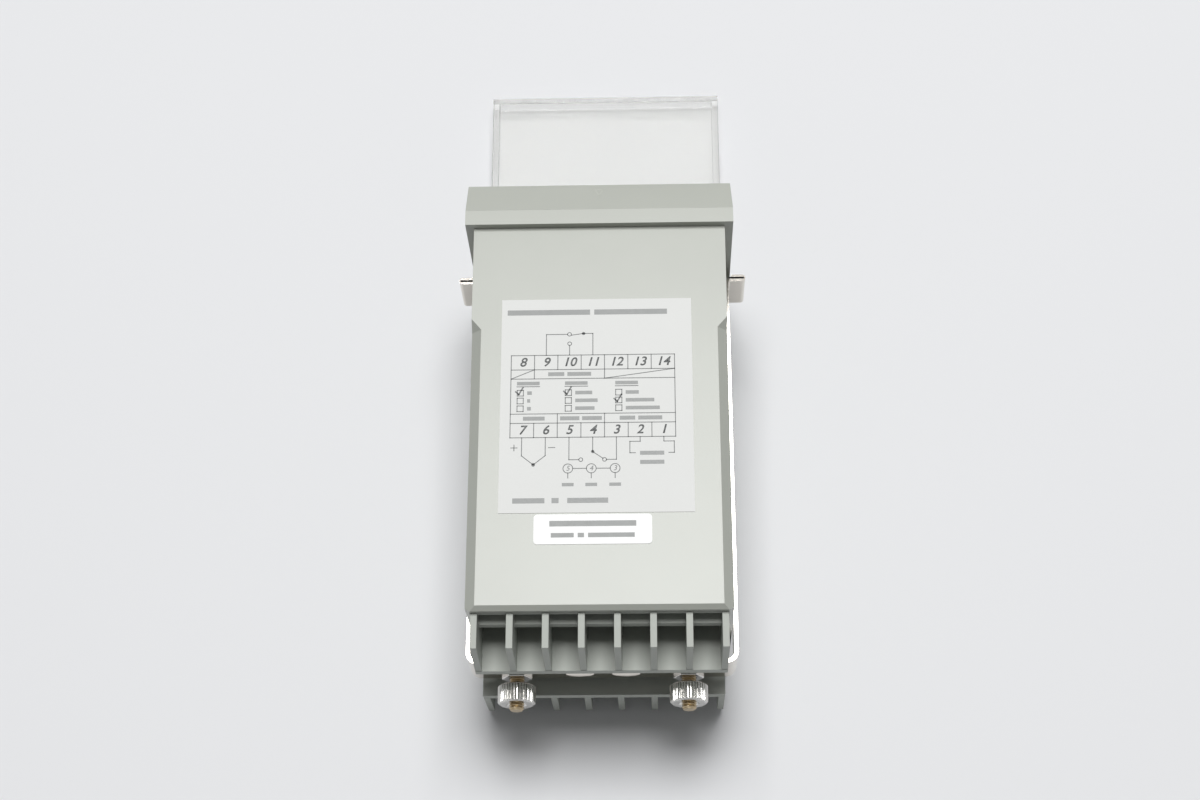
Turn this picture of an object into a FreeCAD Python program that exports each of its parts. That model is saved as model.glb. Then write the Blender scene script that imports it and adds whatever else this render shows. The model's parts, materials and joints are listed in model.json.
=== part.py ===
"""Panel-mount temperature controller with a 72 mm square front, clear cover swung open.

Frame, in millimetres: the origin is the centre of the bezel's rear face, where the instrument
seats on its panel. +Y points to the front, +Z is up, and the terminals are at the -Y end.
"""
import FreeCAD, Part
import os
import re

Vector = FreeCAD.Vector
Rotation = FreeCAD.Rotation
Placement = FreeCAD.Placement

doc = FreeCAD.newDocument("temperature_controller")
sheet = doc.addObject("Spreadsheet::Sheet", "dims")

# Driving dimensions: alias, value in millimetres (or a count), and what it measures.
DIMENSIONS = [
    ("fit_gap", 0.25, "clearance between pieces that are fixed together"),
    ("run_gap", 0.3, "clearance between pieces that move past each other"),
    ("shaft_gap", 0.05, "radial running clearance of a shaft in its hole"),
    ("press_gap", 0.02, "radial clearance of a pin that stays put in its hole"),
    ("over_cut", 1.0, "how far a hole is drilled past the face it opens in"),
    # Case and bezel
    ("bezel_size", 72.0, "outer square of the bezel"),
    ("bezel_depth", 12.0, "front of the bezel ahead of the panel plane"),
    ("flange_depth", 4.3, "thickness of the case's own flange"),
    ("bezel_draft", 0.6, "how far the frame's sides lean in at the front"),
    ("bezel_lip", 2.25, "how far the bezel covers the panel round the case"),
    ("case_depth", 107.0, "length of the case behind the panel plane"),
    ("case_wall", 2.5, "wall of the case"),
    ("edge_chamfer", 2.6, "chamfer along the case's long edges"),
    ("chamfer_start", 27.0, "where the long chamfers begin behind the panel plane"),
    ("chamfer_step", 3.0, "length over which the chamfers grow"),
    ("chamfer_tip", 0.05, "size of a chamfer at its very start"),
    ("rear_chamfer", 1.2, "chamfer round the case's rear edge"),
    ("rail_thickness", 1.1, "thickness of a board guide rail"),
    ("rail_height", 1.5, "height of a board guide rail"),
    ("rail_start", 12.0, "front end of the rails behind the panel plane"),
    ("rail_gap", 2.0, "rear end of the rails ahead of the terminal board"),
    # Front frame, panel and display
    ("skirt_wall", 2.0, "wall of the frame's skirt inside the case"),
    ("skirt_depth", 6.0, "how far the skirt reaches behind the panel plane"),
    ("frame_border", 5.0, "border of the front frame round its square opening"),
    ("panel_thickness", 2.0, "front panel"),
    ("panel_recess", 0.8, "front panel set back from the frame's face"),
    ("post_radius", 2.5, "posts behind the front panel"),
    ("post_inset", 5.0, "posts from the edges of the frame's opening"),
    ("display_margin", 10.0, "display opening from the sides of the frame's opening"),
    ("display_height", 18.0, "display opening, up"),
    ("display_rise", 16.0, "display centre above the middle"),
    ("window_lip", 1.5, "window flange beyond the opening"),
    ("window_lip_depth", 1.0, "thickness of the window flange"),
    ("lamp_radius", 1.5, "indicator lamp"),
    ("lamp_spacing", 16.0, "distance between lamps"),
    ("lamp_rise", 1.0, "lamps above the middle"),
    ("board_thickness", 1.6, "circuit boards"),
    ("display_board_set", 2.0, "display board's front face behind the panel plane"),
    ("board_screw_radius", 1.1, "display board screws"),
    ("board_head_radius", 2.2, "heads of the display board screws"),
    ("board_head_depth", 1.6, "thickness of those heads"),
    ("board_screw_length", 7.0, "length of those screws under the head"),
    # Setting wheels and alarm knob
    ("wheel_radius", 7.0, "thumb wheel"),
    ("wheel_width", 6.0, "thumb wheel, across"),
    ("wheel_pitch", 8.0, "distance between wheels"),
    ("wheel_gap", 3.3, "wheel housing clear of the potentiometer"),
    ("wheel_reach", 2.0, "how far the wheels stand out of the panel"),
    ("wheel_margin", 17.0, "wheel axis above the bottom of the frame's opening"),
    ("wheel_rim", 1.8, "width of the ribbed thumb track"),
    ("wheel_step", 0.35, "number track below the thumb track"),
    ("wheel_ribs", 20, "grooves round the thumb track"),
    ("wheel_groove", 0.45, "radius of those grooves"),
    ("wheel_shaft_radius", 1.0, "shaft through the wheels"),
    ("cheek_thickness", 1.4, "wall between two wheels"),
    ("cheek_half_height", 7.6, "half height of those walls"),
    ("switch_floor", 0.8, "floor of the wheel housing"),
    ("knob_gap", 3.0, "potentiometer clear of the frame's skirt"),
    ("knob_radius", 5.5, "alarm knob"),
    ("knob_depth", 2.7, "thickness of the alarm knob"),
    ("knob_ribs", 18, "grooves round the knob"),
    ("knob_groove", 0.5, "radius of those grooves"),
    ("knob_mark", 0.9, "width and depth of the pointer slot"),
    ("knob_shaft_radius", 1.5, "shaft of the alarm knob"),
    ("pot_radius", 7.0, "potentiometer body"),
    ("pot_depth", 7.0, "thickness of the potentiometer body"),
    ("pot_bush_radius", 3.0, "threaded bush of the potentiometer"),
    # Clear cover and its hinge
    ("cover_inset", 0.8, "sides of the clear cover inside the bezel's sides"),
    ("cover_top", 3.8, "free edge of the closed cover below the bezel's top"),
    ("cover_depth", 5.0, "depth of the cover's tray"),
    ("cover_wall", 2.0, "wall of the cover"),
    ("hinge_rise", 3.0, "hinge axis above the bezel's bottom edge"),
    ("lug_x", 24.5, "hinge lugs from the middle"),
    ("lug_width", 5.0, "hinge lugs, across"),
    ("lug_radius", 2.4, "round of the hinge lugs"),
    ("lug_root", 0.5, "depth of the lugs inside the frame"),
    ("pin_radius", 1.0, "hinge pins"),
    ("pin_grip", 4.0, "pin inside the cover's middle barrel"),
    # Terminals
    ("way_pitch", 9.0, "distance between terminals"),
    ("rib_thickness", 1.7, "walls between terminals"),
    ("tier_depth", 10.2, "length of the tiers behind the case"),
    ("rib_lean", 1.1, "how far the ribs' tops stop short of the tier end"),
    ("tier_inner", 10.8, "face of a tier towards the middle channel"),
    ("tier_floor", 2.7, "floor of a tier"),
    ("plug_depth", 10.0, "depth of the strips inside the case"),
    ("pocket_depth", 7.0, "depth of the terminal pockets"),
    ("shelf_drop", 5.0, "shelf over the screws below the strip's outer edge"),
    ("shelf_thickness", 2.5, "thickness of that shelf"),
    ("shelf_reach", 1.5, "shelf behind the end of the case"),
    ("pocket_roof", 1.5, "roof over the upper pockets"),
    ("screw_radius", 1.5, "terminal screws"),
    ("screw_head_radius", 2.9, "heads of the terminal screws"),
    ("screw_head_depth", 2.0, "thickness of those heads"),
    ("screw_bite", 2.2, "screw behind the pocket's bottom"),
    ("slot_length", 4.2, "arms of the cross in the screw heads"),
    ("slot_width", 0.9, "width and depth of that cross"),
    ("clamp_half", 3.1, "half size of a wire clamp"),
    ("clamp_thickness", 0.9, "wire clamp"),
    ("contact_thickness", 0.8, "contact plate and its tail"),
    ("contact_half", 3.2, "half width of a contact plate"),
    ("contact_foot", 0.7, "contact plate clear of the tier's floor"),
    ("contact_head", 1.6, "contact plate clear of the shelf"),
    ("tail_half", 1.5, "half width of a contact tail"),
    ("tail_reach", 1.0, "tails ahead of the terminal board"),
    ("terminal_gap", 5.4, "terminal board ahead of the terminal strips"),
    # Mounting bracket, studs and nuts
    ("strap_sheet", 1.0, "sheet of the bracket"),
    ("strap_height", 14.0, "height of the bracket's strip"),
    ("arm_gap", 0.7, "bracket arm clear of the case"),
    ("tab_gap", 1.4, "tabs behind the panel plane"),
    ("tab_reach", 4.75, "how far the tabs reach out from the arms"),
    ("tab_fold", 3.0, "folded-back layer of a tab"),
    ("tab_bend", 0.5, "inside radius of the tab's bend"),
    ("rear_bend", 2.0, "inside radius of the bracket's rear bends"),
    ("crossbar_set", 6.4, "rear face of the crossbar behind the case"),
    ("bead_x", 6.1, "pressed beads from the middle"),
    ("bead_drop", 3.5, "pressed beads below the middle"),
    ("bead_half_length", 3.9, "half length of a bead"),
    ("bead_half_height", 2.2, "half height of a bead"),
    ("bead_rise", 0.8, "how far a bead stands out"),
    ("stud_x", 22.5, "studs from the middle"),
    ("stud_radius", 2.0, "studs"),
    ("stud_reach", 1.6, "tips of the studs behind the knurled nuts"),
    ("stud_head", 2.8, "thickness of the stud heads inside the case"),
    ("stud_tip", 0.5, "chamfer at the tips"),
    ("stud_slack", 0.5, "radial clearance of the crossbar's holes"),
    ("hex_flats", 7.0, "lock nuts and stud heads across flats"),
    ("lock_nut_depth", 2.0, "thickness of the lock nuts"),
    ("nut_gap", 1.7, "knurled nuts behind the lock nuts"),
    ("nut_depth", 5.1, "thickness of the knurled nuts"),
    ("nut_radius", 5.0, "knurled nuts"),
    ("nut_ridges", 40, "ridges of the knurl"),
    ("nut_groove", 0.3, "radius of the knurl's grooves"),
    ("nut_dish_radius", 2.7, "dish in the nuts' rear faces"),
    ("nut_dish_depth", 0.8, "depth of that dish"),
    # Labels
    ("label_thickness", 0.15, "labels"),
    ("label_x", -0.7, "middle of the wiring label"),
    ("label_width", 50.0, "wiring label, across"),
    ("label_start", 21.6, "wiring label's front edge behind the panel plane"),
    ("label_length", 60.0, "wiring label, along the case"),
    ("strip_label_x", -1.6, "middle of the small label"),
    ("strip_label_width", 30.0, "small label, across"),
    ("strip_label_gap", 0.4, "small label behind the wiring label"),
    ("strip_label_length", 8.0, "small label, along the case"),
    ("strip_label_round", 1.0, "corner radius of the small label"),
    # Boards and the parts on them
    ("side_board_gap", 6.15, "side boards from the case's inside walls"),
    ("side_board_start", 6.5, "front edge of the side boards behind the panel plane"),
    ("header_thickness", 2.2, "board connectors"),
    ("header_length", 8.4, "board connectors, along the case"),
    ("header_half_height", 11.0, "half height of the board connectors"),
    ("core_gap", 6.0, "transformer core ahead of the filter capacitors"),
    ("core_length", 28.0, "transformer core, along the case"),
    ("core_half_height", 15.0, "half height of the core"),
    ("core_stack", 16.0, "thickness of the core's stack"),
    ("core_limb", 4.5, "half width of the core's middle limb"),
    ("core_yoke", 5.0, "width of the core's yokes"),
    ("coil_half_height", 10.3, "half height of the winding"),
    ("coil_bulge", 4.0, "winding beyond the core's stack on each side"),
    ("relay_length", 19.0, "relays, along the case"),
    ("relay_height", 15.0, "relays, up"),
    ("relay_depth", 15.5, "relays, out from the board"),
    ("relay_base", 1.5, "foot of a relay"),
    ("relay_step", 0.6, "foot beyond the relay's cap"),
    ("relay_gap", 2.6, "relays ahead of the rear connectors"),
    ("relay_rise", 16.0, "relay centres from the middle"),
    ("capacitor_radius", 6.0, "filter capacitors"),
    ("capacitor_length", 20.0, "filter capacitors, out from the board"),
    ("capacitor_gap", 5.6, "filter capacitors ahead of the rear connectors"),
    ("capacitor_rise", 9.0, "filter capacitors from the middle"),
    ("capacitor_bead", 0.5, "groove round a capacitor"),
    ("chip_start", 22.0, "front of the chips behind the panel plane"),
    ("chip_length", 25.0, "chips, along the case"),
    ("chip_height", 7.0, "chips, up"),
    ("chip_depth", 3.6, "chips, out from the board"),
    ("chip_pitch", 16.0, "distance between the chips"),
]

VALUES = {}
for row, (alias, value, meaning) in enumerate(DIMENSIONS, start=1):
    sheet.set("A%d" % row, meaning)
    sheet.set("B%d" % row, str(value))
    sheet.setAlias("B%d" % row, alias)
    VALUES[alias] = value
doc.recompute()

# Places that many pieces share, as expressions of the driving dimensions.
HALF_CASE = "bezel_size/2 - bezel_lip"
CAVITY = HALF_CASE + " - case_wall"
SKIRT = CAVITY + " - fit_gap"
SKIRT_INSIDE = SKIRT + " - skirt_wall"
HALF_OPENING = "bezel_size/2 - frame_border"
HALF_DISPLAY = HALF_OPENING + " - display_margin"
PANEL_FRONT = "bezel_depth - panel_recess"
PANEL_BACK = PANEL_FRONT + " - panel_thickness"
BOARD_FRONT = "-display_board_set"
BOARD_BACK = "-display_board_set - board_thickness"
WHEEL_Y = PANEL_FRONT + " + wheel_reach - wheel_radius"
WHEEL_Z = "wheel_margin - (%s)" % HALF_OPENING
KNOB_X = "knob_gap + pot_radius - (%s)" % SKIRT_INSIDE
WHEEL_MID = KNOB_X + " + pot_radius + wheel_gap + 1.5*wheel_pitch + cheek_thickness/2"
HINGE_Y = "bezel_depth + run_gap + cover_depth/2"
HINGE_Z = "hinge_rise - bezel_size/2"
ARM_INSIDE = HALF_CASE + " + arm_gap"
ARM_OUTSIDE = ARM_INSIDE + " + strap_sheet"
CASE_END = "-case_depth"
PLUG_FRONT = "plug_depth - case_depth"
POCKET_BOTTOM = "pocket_depth - case_depth"
TIER_END = "-case_depth - tier_depth"
TIER_FLOOR = "tier_inner + tier_floor"
SHELF_HIGH = SKIRT + " - shelf_drop"
SHELF_LOW = SHELF_HIGH + " - shelf_thickness"
SCREW_RISE = "(%s + %s)/2" % (TIER_FLOOR, SHELF_LOW)
CONTACT_LOW = TIER_FLOOR + " + contact_foot"
TERMINAL_BOARD_BACK = PLUG_FRONT + " + terminal_gap"
TERMINAL_BOARD_FRONT = TERMINAL_BOARD_BACK + " + board_thickness"
TAIL_END = TERMINAL_BOARD_FRONT + " + tail_reach"
REAR_HEADER_FRONT = TERMINAL_BOARD_FRONT + " + header_length"
CAPACITOR_Y = REAR_HEADER_FRONT + " + capacitor_gap + capacitor_radius"
SIDE_BOARD_INSIDE = CAVITY + " - side_board_gap - board_thickness"
CROSSBAR_REAR = "-case_depth - crossbar_set"
LOCK_NUT_FRONT = CROSSBAR_REAR + " - run_gap"
LOCK_NUT_REAR = LOCK_NUT_FRONT + " - lock_nut_depth"
NUT_FRONT = LOCK_NUT_REAR + " - nut_gap"
NUT_REAR = NUT_FRONT + " - nut_depth"
STUD_END = NUT_REAR + " - stud_reach"


def bound(text):
    """Turn the dimension names in an expression into references to the sheet."""
    def refer(match):
        word = match.group(0)
        return "dims." + word if word in VALUES else word
    return re.sub(r"[a-z][a-z_0-9]*", refer, text)


def bind(solid, **properties):
    for name, text in properties.items():
        solid.setExpression(name, bound(text))


def seat(solid, x, y, z, turn=None):
    """Place a solid at three expressions, turned by a fixed rotation."""
    solid.Placement = Placement(Vector(), turn or Rotation())
    for axis, text in zip("xyz", (x, y, z)):
        solid.setExpression("Placement.Base." + axis, bound(text))
    return solid


def both(half):
    """Limits on both sides of the middle."""
    return "-(%s)" % half, half


def about(middle, half):
    """Limits on both sides of a place."""
    return "%s - (%s)" % (middle, half), "%s + %s" % (middle, half)


def past(span):
    """Limits that run past both ends of a span."""
    return "%s - over_cut" % span[0], "%s + over_cut" % span[1]


def sided(side, low, high):
    """Limits above the middle for side 1, and mirrored below it for side -1."""
    if side > 0:
        return low, high
    return "-(%s)" % high, "-(%s)" % low


def block(name, x, y, z):
    """Block between two expressions along each axis."""
    solid = doc.addObject("Part::Box", name)
    for side, (low, high) in zip(("Length", "Width", "Height"), (x, y, z)):
        bind(solid, **{side: "(%s) - (%s)" % (high, low)})
    return seat(solid, x[0], y[0], z[0])


ALONG = {
    "x": Rotation(Vector(0, 1, 0), 90),
    "y": Rotation(Vector(1, 0, 0), -90),
    "z": Rotation(),
}


def place_along(solid, axis, start, across):
    """Seat a solid of revolution on its axis; across holds the other two places in X, Y, Z order."""
    places = list(across)
    places.insert("xyz".index(axis), start)
    return seat(solid, *places, turn=ALONG[axis])


def rod(name, axis, radius, span, across):
    """Cylinder along an axis between two expressions."""
    solid = doc.addObject("Part::Cylinder", name)
    bind(solid, Radius=radius, Height="(%s) - (%s)" % (span[1], span[0]))
    return place_along(solid, axis, span[0], across)


def taper(name, axis, radii, span, across):
    """Cone frustum along an axis; radii at its start and at its end."""
    solid = doc.addObject("Part::Cone", name)
    bind(solid, Radius1=radii[0], Radius2=radii[1], Height="(%s) - (%s)" % (span[1], span[0]))
    return place_along(solid, axis, span[0], across)


def hexagon(name, flats, span, across):
    """Hexagonal prism along Y with two corners level."""
    solid = doc.addObject("Part::Prism", name)
    solid.Polygon = 6
    bind(solid, Circumradius="%s/sqrt(3)" % flats, Height="(%s) - (%s)" % (span[1], span[0]))
    return place_along(solid, "y", span[0], across)


def join(name, pieces):
    if len(pieces) == 1:
        return pieces[0]
    solid = doc.addObject("Part::MultiFuse", name)
    solid.Shapes = pieces
    solid.Refine = True
    return solid


def carve(name, base, tools):
    solid = doc.addObject("Part::Cut", name)
    solid.Base = base
    solid.Tool = join(name + "_cutters", tools)
    return solid


def mirror_x(name, source):
    solid = doc.addObject("Part::Mirroring", name)
    solid.Source = source
    solid.Normal = Vector(1, 0, 0)
    return solid


NODES = []


def keep(solid, node):
    """Make a solid one of the part's nodes."""
    solid.Label = node
    NODES.append(solid)
    return solid


def keep_group(node, solids):
    """Make several separate solids one node."""
    group = doc.addObject("Part::Compound", node)
    group.Links = solids
    return keep(group, node)


SIDES = (("left", -1), ("right", 1))
TIERS = (("upper", 1), ("lower", -1))
PLUG_WIDTH = VALUES["bezel_size"] - 2*(VALUES["bezel_lip"] + VALUES["case_wall"] + VALUES["fit_gap"])
WAY_COUNT = int((PLUG_WIDTH + VALUES["rib_thickness"])//VALUES["way_pitch"])
WAYS = range(WAY_COUNT)
HALF_ROW = "%s*way_pitch" % (WAY_COUNT/2)


def way_x(way):
    """Middle of a terminal, counted from the -X side; a row has as many as fit across the case."""
    return "(%s)*way_pitch" % (way - (WAY_COUNT - 1)/2)


def corner_cutter(name, side_x, side_z):
    """Chamfer of one long case edge: diamonds that grow over the step, then run on to the rear."""
    rings = []
    stations = (
        ("chamfer_tip", "-chamfer_start"),
        ("edge_chamfer", "-chamfer_start - chamfer_step"),
        ("edge_chamfer", CASE_END + " - over_cut"),
    )
    for number, (size, y) in enumerate(stations):
        ring = doc.addObject("Part::RegularPolygon", "%s_ring_%d" % (name, number))
        ring.Polygon = 4
        bind(ring, Circumradius=size)
        seat(ring, "%d*(%s)" % (side_x, HALF_CASE), y, "%d*(%s)" % (side_z, HALF_CASE), turn=ALONG["y"])
        rings.append(ring)
    loft = doc.addObject("Part::Loft", name)
    loft.Sections = rings
    loft.Solid = True
    loft.Ruled = True
    return loft


def rear_edge_cutter(name, axis, side):
    """Diamond bar that chamfers one edge of the case's rear face."""
    bar = doc.addObject("Part::Prism", name)
    bar.Polygon = 4
    bind(bar, Circumradius="rear_chamfer", Height="bezel_size")
    edge = "%d*(%s)" % (side, HALF_CASE)
    across = (CASE_END, edge) if axis == "x" else (edge, CASE_END)
    return place_along(bar, axis, "-bezel_size/2", across)


def make_case_shell():
    body = block("case_body", both(HALF_CASE), (CASE_END, "0"), both(HALF_CASE))
    flange = block("case_flange", both("bezel_size/2"), ("0", "flange_depth"), both("bezel_size/2"))
    solid = join("case_solid", [body, flange])
    cutters = [block("case_cavity", both(CAVITY), past((CASE_END, "flange_depth")), both(CAVITY))]
    for side_x in (-1, 1):
        for side_z in (-1, 1):
            cutters.append(corner_cutter("case_corner_%d" % len(cutters), side_x, side_z))
    for axis in "xz":
        for side in (-1, 1):
            cutters.append(rear_edge_cutter("case_rear_edge_%d" % len(cutters), axis, side))
    shell = carve("case_carved", solid, cutters)
    rails = []
    for side_x in (-1, 1):
        for _, side_z in TIERS:
            for inner in (SIDE_BOARD_INSIDE + " - fit_gap - rail_thickness",
                          SIDE_BOARD_INSIDE + " + board_thickness + fit_gap"):
                x = sided(side_x, inner, inner + " + rail_thickness")
                z = sided(side_z, CAVITY + " - rail_height", CAVITY + " + case_wall/2")
                rails.append(block("case_rail_%d" % len(rails), x,
                                   (TERMINAL_BOARD_FRONT + " + rail_gap", "-rail_start"), z))
    keep(join("case_shell", [shell] + rails), "case_shell")


def make_front_frame():
    frame = doc.addObject("Part::Wedge", "frame_block")
    bind(frame, Xmin="-bezel_size/2", Xmax="bezel_size/2", Zmin="-bezel_size/2", Zmax="bezel_size/2",
         X2min="bezel_draft - bezel_size/2", X2max="bezel_size/2 - bezel_draft",
         Z2min="bezel_draft - bezel_size/2", Z2max="bezel_size/2 - bezel_draft",
         Ymin="flange_depth", Ymax="bezel_depth")
    skirt = block("frame_skirt", both(SKIRT), ("-skirt_depth", "flange_depth"), both(SKIRT))
    cutters = [
        block("frame_inside", both(SKIRT_INSIDE), ("-skirt_depth - over_cut", PANEL_BACK),
              both(SKIRT_INSIDE)),
        block("frame_opening", both(HALF_OPENING), past((PANEL_BACK, "bezel_depth")), both(HALF_OPENING)),
    ]
    ring = carve("frame_ring", join("frame_solid", [frame, skirt]), cutters)
    lugs = []
    holes = []
    for side, sign in SIDES:
        x = about("%d*lug_x" % sign, "lug_width/2")
        lugs.append(block("lug_arm_" + side, x, ("bezel_depth - lug_root", HINGE_Y),
                          about(HINGE_Z, "lug_radius")))
        lugs.append(rod("lug_eye_" + side, "x", "lug_radius", x, (HINGE_Y, HINGE_Z)))
        holes.append(rod("lug_hole_" + side, "x", "pin_radius + shaft_gap",
                         about("%d*lug_x" % sign, "lug_width"), (HINGE_Y, HINGE_Z)))
    keep(carve("front_frame", join("frame_with_lugs", [ring] + lugs), holes), "front_frame")


WHEELS = ("hundreds", "tens", "units")
DIGITS = 10
LAMPS = range(3)
CHIPS = range(3)


def wheel_x(number):
    """Middle of a setting wheel; the first is the leftmost digit seen from the front."""
    return WHEEL_MID + " + (%d)*wheel_pitch" % (1 - number)


def lamp_x(number):
    return "(%d)*lamp_spacing" % (number - 1)


POSTS = [(x, z) for x in (-1, 1) for z in (-1, 1)]


def post_place(x, z):
    reach = HALF_OPENING + " - post_inset"
    return "%d*(%s)" % (x, reach), "%d*(%s)" % (z, reach)


def make_front_panel():
    half = HALF_OPENING + " - fit_gap"
    pieces = [block("panel_plate", both(half), (PANEL_BACK, PANEL_FRONT), both(half))]
    through = past((PANEL_BACK, PANEL_FRONT))
    cutters = [block("panel_display", both(HALF_DISPLAY), through,
                     about("display_rise", "display_height/2"))]
    chord = "sqrt(wheel_radius^2 - (wheel_radius - wheel_reach - panel_thickness)^2) + 2*run_gap"
    for number, digit in enumerate(WHEELS):
        cutters.append(block("panel_slot_" + digit, about(wheel_x(number), "wheel_width/2 + run_gap"),
                             through, about(WHEEL_Z, chord)))
    for number in LAMPS:
        cutters.append(rod("panel_lamp_%d" % number, "y", "lamp_radius + fit_gap/2", through,
                           (lamp_x(number), "lamp_rise")))
    cutters.append(rod("panel_knob", "y", "knob_shaft_radius + run_gap", through, (KNOB_X, WHEEL_Z)))
    for number, (x, z) in enumerate(POSTS):
        pieces.append(rod("panel_post_%d" % number, "y", "post_radius", (BOARD_FRONT, PANEL_BACK),
                          post_place(x, z)))
        cutters.append(rod("panel_screw_%d" % number, "y", "board_screw_radius + press_gap",
                           (BOARD_BACK, BOARD_BACK + " + board_screw_length + fit_gap"), post_place(x, z)))
    keep(carve("front_panel", join("panel_solid", pieces), cutters), "front_panel")


def make_display():
    pane = block("window_pane", both(HALF_DISPLAY + " - fit_gap"), (PANEL_BACK, PANEL_FRONT),
                 about("display_rise", "display_height/2 - fit_gap"))
    lip_back = PANEL_BACK + " - window_lip_depth"
    lip = block("window_lip_plate", both(HALF_DISPLAY + " + window_lip"), (lip_back, PANEL_BACK),
                about("display_rise", "display_height/2 + window_lip"))
    keep(join("display_window", [pane, lip]), "display_window")
    keep(block("display_module", both(HALF_DISPLAY + " - fit_gap"), (BOARD_FRONT, lip_back),
               about("display_rise", "display_height/2 - fit_gap")), "display_module")
    lamps = []
    for number in LAMPS:
        place = (lamp_x(number), "lamp_rise")
        stem = rod("lamp_stem_%d" % number, "y", "lamp_radius", (BOARD_FRONT, PANEL_FRONT), place)
        dome = doc.addObject("Part::Sphere", "lamp_dome_%d" % number)
        bind(dome, Radius="lamp_radius")
        seat(dome, place[0], PANEL_FRONT, place[1])
        lamps.append(join("lamp_%d" % number, [stem, dome]))
    keep_group("indicator_lamps", lamps)


def make_display_board():
    half = SKIRT_INSIDE + " - fit_gap"
    board = block("display_board_blank", both(half), (BOARD_BACK, BOARD_FRONT), both(half))
    holes = []
    screws = []
    for number, (x, z) in enumerate(POSTS):
        place = post_place(x, z)
        holes.append(rod("board_hole_%d" % number, "y", "board_screw_radius + fit_gap",
                         past((BOARD_BACK, BOARD_FRONT)), place))
        head = rod("board_head_%d" % number, "y", "board_head_radius",
                   (BOARD_BACK + " - board_head_depth", BOARD_BACK), place)
        shank = rod("board_shank_%d" % number, "y", "board_screw_radius",
                    (BOARD_BACK, BOARD_BACK + " + board_screw_length"), place)
        screws.append(join("board_screw_%d" % number, [head, shank]))
    keep(carve("display_board", board, holes), "display_board")
    keep_group("board_screws", screws)


def round_grooves(name, axis, count, radius, reach, span, across):
    """Grooves at even angles round a rim, as rods along its axis."""
    grooves = []
    for number in range(VALUES[count]):
        angle = "(360*%d/%s)" % (number, count)
        groove = rod("%s_%d" % (name, number), axis, radius, span,
                     ("%s + (%s)*cos%s" % (across[0], reach, angle),
                      "%s + (%s)*sin%s" % (across[1], reach, angle)))
        grooves.append(groove)
    return grooves


def make_setting_wheels():
    span = about(WHEEL_MID, "1.5*wheel_pitch + cheek_thickness/2")
    height = about(WHEEL_Z, "cheek_half_height")
    pieces = [block("switch_base", span, (BOARD_FRONT, BOARD_FRONT + " + switch_floor"), height)]
    for number in range(len(WHEELS) + 1):
        middle = WHEEL_MID + " + (%s)*wheel_pitch" % (1.5 - number)
        pieces.append(block("switch_cheek_%d" % number, about(middle, "cheek_thickness/2"),
                            (BOARD_FRONT, PANEL_BACK), height))
    axle = (WHEEL_Y, WHEEL_Z)
    hole = rod("switch_hole", "x", "wheel_shaft_radius + press_gap", past(span), axle)
    keep(carve("setpoint_switch", join("switch_frame", pieces), [hole]), "setpoint_switch")
    keep(rod("wheel_shaft", "x", "wheel_shaft_radius", span, axle), "wheel_shaft")
    for number, digit in enumerate(WHEELS):
        low, high = about(wheel_x(number), "wheel_width/2")
        drum = doc.addObject("Part::Prism", digit + "_drum")
        drum.Polygon = DIGITS
        bind(drum, Circumradius="wheel_radius - wheel_step", Height="wheel_width - wheel_rim")
        place_along(drum, "x", low, axle)
        rim_span = (high + " - wheel_rim", high)
        rim = rod(digit + "_rim", "x", "wheel_radius", rim_span, axle)
        ribs = round_grooves(digit + "_groove", "x", "wheel_ribs", "wheel_groove", "wheel_radius",
                             (rim_span[0], high + " + over_cut"), axle)
        bore = rod(digit + "_bore", "x", "wheel_shaft_radius + shaft_gap", past((low, high)), axle)
        keep(carve(digit + "_wheel", join(digit + "_solid", [drum, rim]), ribs + [bore]), digit + "_wheel")


def make_alarm_setting():
    place = (KNOB_X, WHEEL_Z)
    pot_front = BOARD_FRONT + " + pot_depth"
    body = rod("pot_body", "y", "pot_radius", (BOARD_FRONT, pot_front), place)
    bush = rod("pot_bush", "y", "pot_bush_radius", (pot_front, PANEL_BACK), place)
    bore = rod("pot_bore", "y", "knob_shaft_radius + shaft_gap", past((pot_front, PANEL_BACK)), place)
    keep(carve("alarm_pot", join("pot_solid", [body, bush]), [bore]), "alarm_pot")
    base = PANEL_FRONT + " + run_gap"
    face = base + " + knob_depth"
    head = rod("knob_head", "y", "knob_radius", (base, face), place)
    shaft = rod("knob_shaft", "y", "knob_shaft_radius", (pot_front, base), place)
    ribs = round_grooves("knob_groove", "y", "knob_ribs", "knob_groove", "knob_radius",
                         past((base, face)), place)
    mark = block("knob_pointer", about(KNOB_X, "knob_mark/2"),
                 (face + " - knob_mark", face + " + over_cut"), (WHEEL_Z, WHEEL_Z + " + knob_radius"))
    keep(carve("alarm_knob", join("knob_solid", [head, shaft]), ribs + [mark]), "alarm_knob")


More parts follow.
